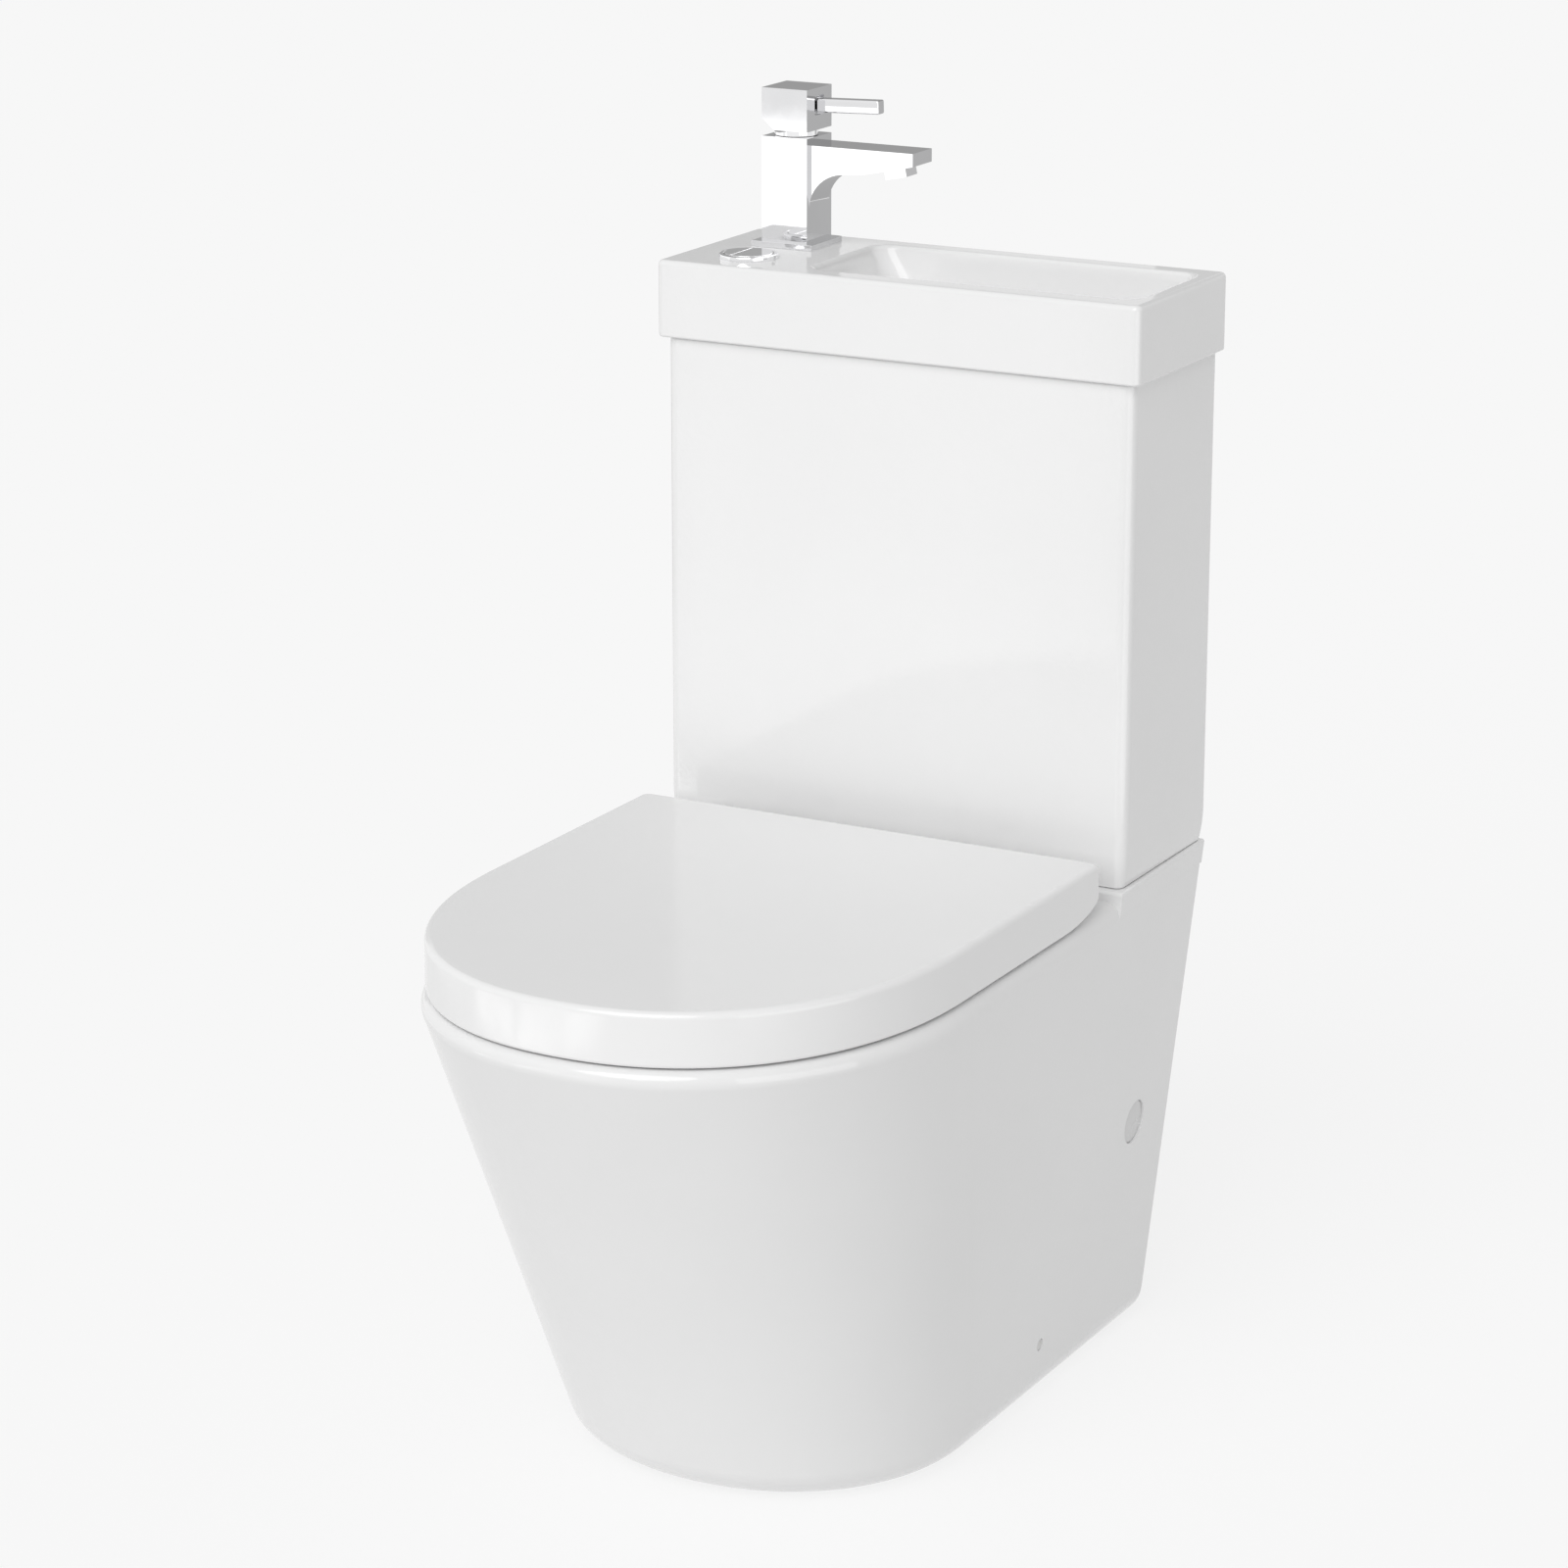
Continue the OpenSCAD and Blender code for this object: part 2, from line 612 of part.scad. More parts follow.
// A post stands on the pan in front of its bolt, and its knuckle carries the pin
foot_back = ledge_front + 3;
foot_h = 5;
module hinge_posts() {
  color("silver") at_wall() both_sides() difference() {
    union() {
      bar_x([post_in, -hinge_y, hinge_z], knuckle_r, post_w);
      translate([post_in, -hinge_y - knuckle_r, rim_z]) cube([post_w, 2 * knuckle_r, hinge_z - rim_z]);
      translate([post_in, -hinge_y - knuckle_r, rim_z])
        cube([post_w, hinge_y + knuckle_r - foot_back, foot_h]);
    }
    bar_x([post_in - 1, -hinge_y, hinge_z], hinge_pin_r + run_gap, post_w + 2);
    bar_z([hinge_pitch / 2, -seat_bolt_y, rim_z - 1], seat_bolt_r + fit_gap, foot_h + 2);
    bar_z([hinge_pitch / 2, -seat_bolt_y, rim_z + foot_h - seat_head_h], seat_bolt_r + 3, 5);
  }
}

module hinge_pins() {
  l = post_w + 2 * ear_w + 2 * ear_gap;
  color("silver") at_wall() both_sides()
    bar_x([post_in - ear_w - ear_gap, -hinge_y, hinge_z], hinge_pin_r, l);
}

seat_bolt_end = slab_z - 40;
seat_washer_h = 6;
seat_head_h = 3;
module seat_bolts() {
  top = rim_z + foot_h - seat_head_h;
  color("silver") at_wall() both_sides() {
    bar_z([hinge_pitch / 2, -seat_bolt_y, seat_bolt_end], seat_bolt_r, top - seat_bolt_end + 1);
    bar_z([hinge_pitch / 2, -seat_bolt_y, top], seat_bolt_r + 2.5, seat_head_h - 0.2);
  }
}

module seat_washers() {
  color("dimgray") at_wall() both_sides()
    tube_z([hinge_pitch / 2, -seat_bolt_y, slab_z - seat_washer_h], 10, seat_bolt_r + fit_gap, seat_washer_h);
}

module seat_nuts() {
  color("gainsboro") at_wall() both_sides()
    hex_nut([hinge_pitch / 2, -seat_bolt_y, slab_z - seat_washer_h - 10], 15, seat_bolt_r + run_gap, 10);
}

coupling_r = 4;
coupling_rubber_h = 4;
wing_top = slab_z - 2;
module coupling_bolts() {
  top = floor_z + coupling_rubber_h;
  low = wing_top - 28;
  color("goldenrod") at_wall() both_sides() {
    bar_z([coupling_x, -valve_y, low], coupling_r, top - low + 1);
    bar_z([coupling_x, -valve_y, top], 9, 4);
  }
}

module coupling_rubbers() {
  color("dimgray") at_wall() both_sides()
    tube_z([coupling_x, -valve_y, floor_z], 11, coupling_r + fit_gap, coupling_rubber_h);
}

module coupling_washers() {
  color("silver") at_wall() both_sides()
    tube_z([coupling_x, -valve_y, wing_top], 12, coupling_r + fit_gap, 2);
}

module wing_nuts() {
  l = 14;
  color("goldenrod") at_wall() both_sides() difference() {
    union() {
      bar_z([coupling_x, -valve_y, wing_top - l], 8, l);
      translate([coupling_x - 2, -valve_y - 16, wing_top - l]) cube([4, 32, l - 3]);
    }
    bar_z([coupling_x, -valve_y, wing_top - l - 1], coupling_r + run_gap, l + 2);
  }
}

nut_h = 12;
nut_r = 42;
module doughnut_seal() {
  h = 34 + joint_gap;
  color("dimgray") at_wall() tube_z([0, -valve_y, ledge_z - 34], inlet_recess_r - 1, nut_r + 2, h);
}

// Flush valve: a seat on a flanged shank, a cage, an overflow pipe beside it and two small air cylinders
washer_h = 3;
base_z = floor_z + washer_h;
seat_h = 34;
seat_r = 26;
seat_wall = 3;
cage_h = 150;
cage_r = 40;
overflow_x = basin_bowl_x;
overflow_r = 16;
overflow_bore_r = 13.5;
funnel_r = 25;
funnel_h = 18;
stem_r = 6;
half_rod_r = 4;
half_rod_at = [10, 26];
pump_r = 5;
half_pump_r = 3.5;
half_ratio = 2;
piston_r = pump_r / sqrt(lift_ratio);
half_piston_r = half_pump_r / sqrt(half_ratio);
ram_at = [-18, -16];
half_ram_at = [-18, 16];
ram_r = 6;
ram_h = 50;
half_ram_h = 40;
ram_gap = 0.1;
nipple_r = 2;
nipple_l = 9;
tube_r = 3.2;
cage_top = base_z + cage_h;

module ram(at, h, bore_r) {
  translate([at[0], at[1], cage_top - 1]) difference() {
    union() {
      cylinder(r = ram_r, h = h + 1);
      translate([0, 0, 9]) rotate([0, -90, 0]) cylinder(r = nipple_r, h = ram_r + nipple_l);
    }
    translate([0, 0, 5]) cylinder(r = bore_r + ram_gap, h = h);
    translate([0, 0, 9]) rotate([0, -90, 0]) cylinder(r = nipple_r / 2, h = ram_r + nipple_l + 1);
  }
}

module flush_valve_body() {
  shank_z = cistern_z - nut_h - 16;
  color("ghostwhite") at_wall() translate([0, -valve_y, 0]) {
    difference() {
      union() {
        bar_z([0, 0, shank_z], shank_dia / 2, base_z - shank_z + 1);
        bar_z([0, 0, base_z], 44, 5);
        bar_z([0, 0, base_z], seat_r + seat_wall, seat_h);
        bar_z([0, 0, base_z + 4], seat_r + 9, seat_h - 8);
        for (a = [90, 210, 330]) rotate(a) {
          translate([seat_r + 5, -4, base_z + 4]) cube([cage_r - seat_r - 5, 8, 10]);
          translate([cage_r - 6, -4, base_z + 4]) cube([6, 8, cage_h - 5]);
        }
        bar_z([0, 0, cage_top - 8], cage_r, 8);
        bar_z([overflow_x, 0, base_z], overflow_r, overflow_h - washer_h - 1);
        translate([overflow_x, 0, floor_z + overflow_h - funnel_h])
          cylinder(r1 = overflow_r, r2 = funnel_r, h = funnel_h);
        translate([20, -10, base_z]) cube([overflow_x - 20, 20, 26]);
      }
      bar_z([0, 0, shank_z - 1], seat_r - 2, base_z - shank_z + seat_h);
      bar_z([0, 0, base_z + 6], seat_r, seat_h);
      bar_z([0, 0, cage_top - 9], stem_r + slide_gap, 10);
      bar_z([half_rod_at[0], half_rod_at[1], cage_top - 9], half_rod_r + slide_gap, 10);
      bar_z([overflow_x, 0, base_z + 4], overflow_bore_r, overflow_h);
      translate([overflow_x, 0, floor_z + overflow_h - funnel_h + 1])
        cylinder(r1 = overflow_bore_r, r2 = funnel_r - 1.5, h = funnel_h);
      bar_x([10, 0, base_z + 14], 8, overflow_x - 10);
    }
    ram(ram_at, ram_h, piston_r);
    ram(half_ram_at, half_ram_h, half_piston_r);
  }
}

module flush_valve_washer() {
  color("dimgray") at_wall() tube_z([0, -valve_y, floor_z], 44, shank_dia / 2 + fit_gap, washer_h);
}

module flush_valve_nut() {
  color("ghostwhite") at_wall() difference() {
    bar_z([0, -valve_y, cistern_z - nut_h], nut_r, nut_h);
    bar_z([0, -valve_y, cistern_z - nut_h - 1], shank_dia / 2 + run_gap, nut_h + 2);
    for (a = [0:30:330]) translate([0, -valve_y, cistern_z - nut_h - 1]) rotate(a)
      bar_z([nut_r + 2, 0, 0], 5, nut_h - 2);
  }
}

// A flat arm from one upright rod to another
module arm(a, b, z, w, t) {
  d = b - a;
  translate([a[0], a[1], z]) rotate(atan2(d[1], d[0])) translate([0, -w / 2, 0]) cube([norm(d), w, t]);
}

seal_z = base_z + seat_h + 0.1;
seal_h = 4;
module flush_stem() {
  arm_z = cage_top + ram_h + 12;
  color("royalblue") at_wall() translate([0, -valve_y, 0]) {
    bar_z([0, 0, seal_z - 14], stem_r, arm_z + 7 - seal_z + 14);
    bar_z([0, 0, seal_z + seal_h], seat_r - 2, 4);
    bar_z([0, 0, seal_z - 3], 10, 3);
    arm([0, 0], ram_at, arm_z, 8, 6);
    bar_z([ram_at[0], ram_at[1], cage_top + 8], piston_r, arm_z - cage_top - 7);
    bar_z([ram_at[0], ram_at[1], arm_z - 0.5], 5, 7);
  }
}

module flush_seal() {
  color("firebrick") at_wall() tube_z([0, -valve_y, seal_z], seat_r + seat_wall + 2, stem_r, seal_h);
}

module half_flush_float() {
  arm_z = cage_top + half_ram_h + 10;
  x = half_rod_at[0];
  y = half_rod_at[1];
  color("lightskyblue") at_wall() translate([0, -valve_y, 0]) {
    bar_z([x, y, base_z + 60], half_rod_r, arm_z + 6 - base_z - 60);
    bar_z([x, y, base_z + 66], 9, 44);
    arm(half_rod_at, half_ram_at, arm_z, 7, 5);
    bar_z([half_ram_at[0], half_ram_at[1], cage_top + 8], half_piston_r, arm_z - cage_top - 7);
    bar_z([half_ram_at[0], half_ram_at[1], arm_z - 0.5], 4.5, 6);
  }
}

// Button: a housing through the basin's deck with two little air pumps, one under each button
house_r = button_hole_r - 0.3;
house_bore_r = house_r - 1.2;
house_low = deck_z - 48;
pump_top = deck_z - 22;
pump_wall = 1.6;
cap_bottom = deck_z - 1;
button_r = bezel_dia / 2 - 3.9;
button_top = deck_z + 4.4;
split_x = -6;
split_gap = 0.3;
full_pump_x = 5;
half_pump_x = -12;

module at_button() {
  at_wall() translate([-button_x, -button_y, 0]) children();
}

module button_housing() {
  color("ghostwhite") at_button() {
    difference() {
      bar_z([0, 0, house_low], house_r, deck_z - house_low);
      bar_z([0, 0, house_low + 3], house_bore_r, deck_z - house_low);
      for (x = [full_pump_x, half_pump_x]) bar_z([x, 0, house_low - 1], nipple_r / 2, 5);
    }
    for (p = [[full_pump_x, pump_r], [half_pump_x, half_pump_r]]) {
      tube_z([p[0], 0, house_low + 2], p[1] + pump_wall, p[1] + ram_gap, pump_top - house_low - 2);
      tube_z([p[0], 0, house_low - nipple_l], nipple_r, nipple_r / 2, nipple_l + 1);
    }
  }
}

module button_bezel() {
  h = 4;
  color("silver") at_button() translate([0, 0, deck_z]) rotate_extrude() polygon([
    [button_r + slide_gap, 0], [bezel_dia / 2, 0], [bezel_dia / 2, h - 1.2], [bezel_dia / 2 - 0.4, h - 0.4],
    [bezel_dia / 2 - 1.2, h], [button_r + slide_gap + 0.5, h], [button_r + slide_gap, h - 0.5]]);
}

module button_nut() {
  top = deck_z - basin_wall;
  color("ghostwhite") at_button() difference() {
    bar_z([0, 0, top - 8], 25.5, 8);
    bar_z([0, 0, top - 9], house_r + run_gap, 10);
    for (a = [0:45:315]) rotate(a) bar_z([27.5, 0, top - 9], 4, 6);
  }
}

// One button: its cap on one side of the split, with the plunger of its pump below
module push_button(side, x, r) {
  difference() {
    union() {
      bar_z([0, 0, cap_bottom], button_r, button_top - cap_bottom);
      tube_z([0, 0, cap_bottom - 5], button_r, button_r - 1.2, 6);
    }
    w = 2 * button_r + 2;
    edge = split_x + side * split_gap;
    translate([side > 0 ? edge - w : edge, -w / 2, cap_bottom - 6]) cube([w, w, button_top - cap_bottom + 7]);
  }
  bar_z([x, 0, pump_top - 14], r, cap_bottom - pump_top + 15);
}

module full_button() {
  color("silver") at_button() push_button(1, full_pump_x, pump_r);
}

module half_button() {
  color("silver") at_button() push_button(-1, half_pump_x, half_pump_r);
}

// Rings of a round wire or tube that follow a line of points
function line_way(pts, i) = let (v = pts[min(i + 1, len(pts) - 1)] - pts[max(i - 1, 0)]) v / norm(v);
function line_rings(pts, r, sides, ref) = [for (i = [0:len(pts) - 1])
  let (w = line_way(pts, i), s = cross(w, ref) / norm(cross(w, ref)), u = cross(s, w))
  [for (k = [0:sides - 1]) let (a = -360 * k / sides) pts[i] + r * (cos(a) * s + sin(a) * u)]];

wire_r = 0.5;
coil_turns = 5;
coil_steps = 14;
module coil(x, r) {
  low = pump_top + wire_r;
  rise = cap_bottom - wire_r - low;
  n = coil_turns * coil_steps;
  pts = [for (i = [0:n]) let (a = 360 * i / coil_steps)
    [x + r * cos(a), r * sin(a), low + rise * i / n]];
  skin(line_rings(pts, wire_r, 6, [0, 0, 1]));
}

module full_button_spring() {
  color("gray") at_button() coil(full_pump_x, pump_r + wire_r + 0.5);
}

module half_button_spring() {
  color("gray") at_button() coil(half_pump_x, half_pump_r + wire_r + 0.3);
}

// The air tubes hang from the pumps and come level into the cylinders on the valve
tube_steps = 22;
tube_drop = 170;
tube_reach = 62;
function bend_point(a, b, c, d, t) =
  a * pow(1 - t, 3) + 3 * b * t * pow(1 - t, 2) + 3 * c * t * t * (1 - t) + d * pow(t, 3);

module air_tube(x, at) {
  a = [-button_x + x, -button_y, house_low - 2];
  d = [at[0] - ram_r - 1.5, -valve_y + at[1], cage_top + 8];
  pts = concat(
    [a, a - [0, 0, nipple_l]],
    [for (i = [1:tube_steps - 1])
      bend_point(a - [0, 0, nipple_l], a - [0, 0, tube_drop], d - [tube_reach, 0, 0], d - [nipple_l, 0, 0],
        i / tube_steps)],
    [d - [nipple_l, 0, 0], d]);
  difference() {
    skin(line_rings(pts, tube_r, 12, [0, 1, 0]));
    bar_z(a - [0, 0, nipple_l - 2], nipple_r, nipple_l);
    bar_x(d - [nipple_l - 1, 0, 0], nipple_r, nipple_l);
  }
}

module air_tubes() {
  color("dimgray") at_wall() {
    air_tube(full_pump_x, ram_at);
    air_tube(half_pump_x, half_ram_at);
  }
}

// Fill valve: a riser through the cistern's floor, with a head, a float round the riser and an arm over it
riser_r = 9;
fill_tail = 40;
fill_head_z = floor_z + 236;
fill_head_r = 16;
fill_head_h = 24;
float_r = 31;
float_h = 60;
float_z = floor_z + 70;
rod_x = -27;
pivot_x = 8;
pivot_z = fill_head_z + fill_head_h + 12;
arm_l = pivot_x - rod_x;
pad_r = 3;
float_rod_r = 2;
arm_angle = asin(float_travel / arm_l);

module at_fill() {
  at_wall() translate([fill_x, -valve_y, 0]) children();
}

module fill_valve() {
  color("ghostwhite") at_fill() difference() {
    union() {
      bar_z([0, 0, cistern_z - fill_tail], fill_shank_r - 0.2, fill_tail);
      bar_z([0, 0, cistern_z - 11], fill_shank_r, 12 + cistern_floor + washer_h);
      bar_z([0, 0, floor_z + washer_h], 16, 4);
      bar_z([0, 0, floor_z + washer_h], riser_r, fill_head_z - floor_z);
      bar_z([0, 0, fill_head_z], fill_head_r, fill_head_h);
      for (y = [-8, 5]) translate([pivot_x - 4, y, fill_head_z + fill_head_h - 1]) cube([8, 3, 17]);
      bar_y([pivot_x, -6, pivot_z], 2, 12);
    }
    bar_z([0, 0, cistern_z - fill_tail - 1], 5, 200);
  }
}

module fill_float() {
  color("lightgray") at_fill() {
    tube_z([0, 0, float_z], float_r, riser_r + 0.4, float_h);
    bar_z([rod_x, 0, float_z + float_h - 1], float_rod_r, pivot_z - pad_r - 0.3 - float_z - float_h + 1);
  }
}

module fill_arm() {
  color("royalblue") at_fill() difference() {
    union() {
      bar_y([pivot_x, -4.5, pivot_z], 5, 9);
      translate([rod_x, -4.5, pivot_z - 2]) cube([arm_l, 9, 4]);
      bar_y([rod_x, -4.5, pivot_z], pad_r, 9);
    }
    bar_y([pivot_x, -5, pivot_z], 2 + run_gap, 10);
  }
}

module fill_washer() {
  color("dimgray") at_fill() tube_z([0, 0, floor_z], 16, fill_shank_r + fit_gap, washer_h);
}

module fill_nut() {
  color("ghostwhite") at_fill() hex_nut([0, 0, cistern_z - 10], 30, fill_shank_r + run_gap, 10);
}

// Tap: a square column with a spout towards the bowl, and a head whose lever lifts and turns
plate_top = 4.5;
column_d = column_w + 1;
chamber_r = 14.2;
chamber_low = 42;
ring_low = 76;
head_low = 89.5;
pivot_h = 97;
tap_tilt = 15;
spindle_r = 4;
head_pin_r = 1.5;
lever_lean = 2;
lever_h = 107.5;
lever_in = 9;
tail_r = 5;
tail_at = [[-8, 5], [8, 5]];
stud_r = 4;
stud_at = [0, -9];
tip_low = 69.3;
spout_top = column_top - 5.2;
arc_x = spout_reach - 56.9;
arc_top = 59.1;
arc_h = 28;
outlet_x = spout_reach - 18.8;
under_x = spout_reach - 41.5;
under_z = 60.5;
mouth_h = under_z + (tip_low - under_z) * (outlet_x - under_x) / (spout_reach - under_x);
mouth_lean = atan((tip_low - under_z) / (spout_reach - under_x));

module at_tap() {
  at_wall() translate([-tap_x, -tap_y, deck_z]) children();
}

module tap_plate() {
  w = column_w + 13;
  d = column_w + 11.5;
  color("silver") at_tap() difference() {
    translate([-w / 2, -d / 2, 0]) cube([w, d, plate_top]);
    bar_z([0, 0, -1], tap_hole_r - 0.5, plate_top + 2);
  }
}

module spout_mouth(z, r, l) {
  translate([outlet_x, 0, mouth_h]) rotate([0, -mouth_lean, 0]) bar_z([0, 0, z], r, l);
}

module tap_body() {
  color("silver") at_tap() difference() {
    union() {
      translate([-column_w / 2, -column_d / 2, plate_top]) cube([column_w, column_d, column_top - plate_top]);
      translate([0, spout_w / 2, 0]) rotate([90, 0, 0]) linear_extrude(spout_w) polygon(concat(
        [[0, spout_top], [spout_reach, spout_top], [spout_reach, tip_low], [under_x, under_z]],
        [for (k = [0:12]) let (a = 90 + 90 * k / 12)
          [arc_x + (arc_x - column_w / 2) * cos(a), arc_top - arc_h + arc_h * sin(a)]],
        [[0, arc_top - arc_h]]));
    }
    bar_z([0, 0, chamber_low], chamber_r, column_top);
    spout_mouth(-1, 8 + run_gap, 7.5);
    spout_mouth(5, 4, 4);
    bar_x([10, 0, 73.5], 3.5, outlet_x - 10);
    for (p = tail_at) {
      bar_z([p[0], p[1], 0], tail_r + run_gap, plate_top + 14);
      bar_z([p[0], p[1], 0], 3, chamber_low + 1);
    }
    bar_z([stud_at[0], stud_at[1], 0], stud_r + run_gap, plate_top + 14);
  }
}

module tap_cartridge() {
  color("whitesmoke") at_tap() difference() {
    bar_z([0, 0, chamber_low], chamber_r - 1, ring_low - chamber_low);
    bar_z([0, 0, ring_low - 16], spindle_r + run_gap, 20);
    for (p = tail_at) bar_z([p[0], p[1], chamber_low - 1], 3, 8);
  }
}

module tap_ring_nut() {
  color("goldenrod") at_tap() tube_z([0, 0, ring_low], chamber_r - run_gap, 8, column_top - 0.5 - ring_low);
}

module tap_spindle() {
  color("goldenrod") at_tap() difference() {
    bar_z([0, 0, ring_low - 15], spindle_r, pivot_h + 3.5 - ring_low + 15);
    bar_y([0, -6, pivot_h], head_pin_r + run_gap, 12);
  }
}

// The neck turns with the spindle, and its back is cut down so that the lifted head clears it
module tap_neck() {
  low = column_top + slide_gap;
  top = head_low - slide_gap;
  color("silver") at_tap() difference() {
    tube_z([0, 0, low], 17, spindle_r, top - low);
    rotate([90, 0, 0]) translate([0, 0, -20]) linear_extrude(40) polygon([
      [3, top + 1], [3, top - 0.05], [-6.4, head_low - 2.4], [-20, head_low - 2.4], [-20, top + 1]]);
  }
}

lever_slot = 2.2;
module lever_bar(grow, from, to) {
  w = lever_t + 2 * grow;
  translate([0, 0, lever_h]) rotate([0, 90 - lever_lean, 0]) translate([0, 0, from])
    linear_extrude(to - from) polygon(round_rect(w, w, 1.6));
}

module tap_head() {
  color("silver") at_tap() difference() {
    translate([0, column_d / 2, 0]) rotate([90, 0, 0]) linear_extrude(column_d) polygon([
      [column_w / 2, head_low], [-8.6, head_low], [-column_w / 2, head_low + 9],
      [-column_w / 2, head_low + head_h], [column_w / 2, head_low + head_h]]);
    translate([-6.6, -spindle_r - 0.35, head_low - 1])
      cube([13.2, 2 * spindle_r + 0.7, pivot_h - head_low + 7.5]);
    bar_y([0, -column_d / 2 + 5, pivot_h], head_pin_r, column_d - 10);
    lever_bar(run_gap, column_w / 2 - lever_in, column_w);
    lever_bar(lever_slot, column_w / 2 - 3, column_w);
    bar_z([column_w / 2 - 5, 0, head_low - 1], 2 + run_gap, lever_h - head_low);
  }
}

module tap_head_pin() {
  color("gray") at_tap() bar_y([0, -column_d / 2 + 5, pivot_h], head_pin_r, column_d - 10);
}

module tap_lever() {
  color("silver") at_tap() lever_bar(0, column_w / 2 - lever_in, column_w / 2 + lever_len);
}

module tap_grub_screw() {
  top = lever_h - lever_t / 2 + 0.1;
  color("gray") at_tap() difference() {
    bar_z([column_w / 2 - 5, 0, top - 8], 2, 8);
    translate([column_w / 2 - 5, 0, top - 9]) cylinder(r = 1.1, h = 3, $fn = 6);
  }
}

module tap_aerator() {
  w = 18;
  h = 7;
  color("silver") at_tap() translate([outlet_x, 0, mouth_h]) rotate([0, -mouth_lean, 0]) difference() {
    union() {
      translate([-w / 2, -w / 2, -h]) cube([w, w, h]);
      bar_z([0, 0, -1], 8, 6.5);
    }
    bar_z([0, 0, -h - 1], 6.5, 4);
    for (a = [0:60:300]) rotate(a) bar_z([4, 0, -h - 1], 1.1, h + 9);
    bar_z([0, 0, -h - 1], 1.1, h + 9);
  }
}

stud_low = -38;
module tap_stud() {
  color("goldenrod") at_tap() bar_z([stud_at[0], stud_at[1], stud_low], stud_r, plate_top + 13 - stud_low);
}

module tap_horseshoe() {
  color("dimgray") at_tap() difference() {
    bar_z([0, 0, -basin_wall - 3], 22, 3);
    bar_z([stud_at[0], stud_at[1], -basin_wall - 4], stud_r + fit_gap, 5);
    translate([-15, -2, -basin_wall - 4]) cube([30, 30, 5]);
  }
}

module tap_stud_nut() {
  color("goldenrod") at_tap() hex_nut([stud_at[0], stud_at[1], -basin_wall - 10], 13, stud_r + run_gap, 7);
}

// Two copper tails drop through the deck and turn to the back, through the notch in the cistern
tail_bend = 16;
tail_level = cistern_top - 13 - deck_z;
module tap_tails() {
  color("peru") at_tap() for (p = tail_at) translate([p[0], p[1], 0]) {
    bar_z([0, 0, tail_level + tail_bend], tail_r, plate_top + 13 - tail_level - tail_bend);
    translate([0, tail_bend, tail_level + tail_bend]) rotate([-90, 0, -90]) rotate_extrude(angle = 90)
      translate([tail_bend, 0]) circle(r = tail_r);
    bar_y([0, tail_bend, tail_level], tail_r, tap_y - p[1] - tail_bend - 1);
  }
}

// Waste: flange and grid in the bowl, held from below, with a pipe down to the overflow
waste_r = 22;
waste_bore_r = 18;
flange_r = 30;
flange_h = 3;
waste_low = basin_floor_z - 40;

module at_waste() {
  at_wall() translate([basin_bowl_x, -basin_bowl_y, 0]) children();
}

module waste_flange() {
  color("silver") at_waste() {
    difference() {
      union() {
        translate([0, 0, basin_floor_z]) cylinder(r1 = flange_r, r2 = flange_r - 2, h = flange_h);
        bar_z([0, 0, waste_low], waste_r, basin_floor_z - waste_low + 1);
      }
      bar_z([0, 0, waste_low - 1], waste_bore_r, 60);
    }
    difference() {
      translate([-waste_bore_r - 1, -3, basin_floor_z - 6]) cube([2 * waste_bore_r + 2, 6, 5]);
      bar_z([0, 0, basin_floor_z - 7], 2 + run_gap, 7);
    }
  }
}

module waste_grid() {
  color("silver") at_waste() difference() {
    bar_z([0, 0, basin_floor_z - 1], waste_bore_r - fit_gap, 3);
    bar_z([0, 0, basin_floor_z - 2], 2 + fit_gap, 5);
    for (a = [0:45:315]) rotate(a) bar_z([11, 0, basin_floor_z - 2], 3, 5);
  }
}

module waste_screw() {
  color("silver") at_waste() {
    bar_z([0, 0, basin_floor_z - 12], 2, 15);
    bar_z([0, 0, basin_floor_z + 2], 4, 1.6);
  }
}

module waste_washer() {
  color("dimgray") at_waste() tube_z([0, 0, basin_floor_z - basin_wall - 3], 31, waste_r + fit_gap, 3);
}

module waste_nut() {
  color("ghostwhite") at_waste() hex_nut([0, 0, basin_floor_z - basin_wall - 13], 56, waste_r + run_gap, 10);
}

module waste_tail() {
  low = floor_z + overflow_h - 4;
  color("ghostwhite") at_waste() tube_z([0, 0, low], waste_bore_r - run_gap, 16, basin_floor_z - 14 - low);
}

module access_caps() {
  color("white") at_wall() both_sides()
    translate([cap_x, -cap_y, cap_z]) rotate([0, 90 + wall_lean, 0])
      bar_z([0, 0, -cap_recess - cap_t], cap_r - fit_gap, cap_t);
}

// Brackets on the floor inside the pan, and the screws that hold the pan's sides to them
tab_t = 3;
bracket_l = 38;
bracket_x = base_half_w - foot_r - pan_wall - 2;
module floor_brackets() {
  color("silver") at_wall() both_sides() difference() {
    union() {
      translate([bracket_x - bracket_l, -screw_y - 18, 0]) cube([bracket_l, 36, tab_t]);
      translate([bracket_x - tab_t, -screw_y - 18, 0]) cube([tab_t, 36, screw_z + 12]);
    }
    bar_x([bracket_x - tab_t - 1, -screw_y, screw_z], side_screw_r + run_gap, tab_t + 2);
    bar_z([bracket_x - bracket_l / 2 - 2, -screw_y, -1], 4, tab_t + 2);
  }
}

module side_screws() {
  color("white") at_wall() both_sides() {
    bar_x([bracket_x - tab_t - 6, -screw_y, screw_z], side_screw_r, screw_seat_x - bracket_x + tab_t + 7);
    bar_x([screw_seat_x, -screw_y, screw_z], screw_hole_r - slide_gap, screw_cap_t);
  }
}

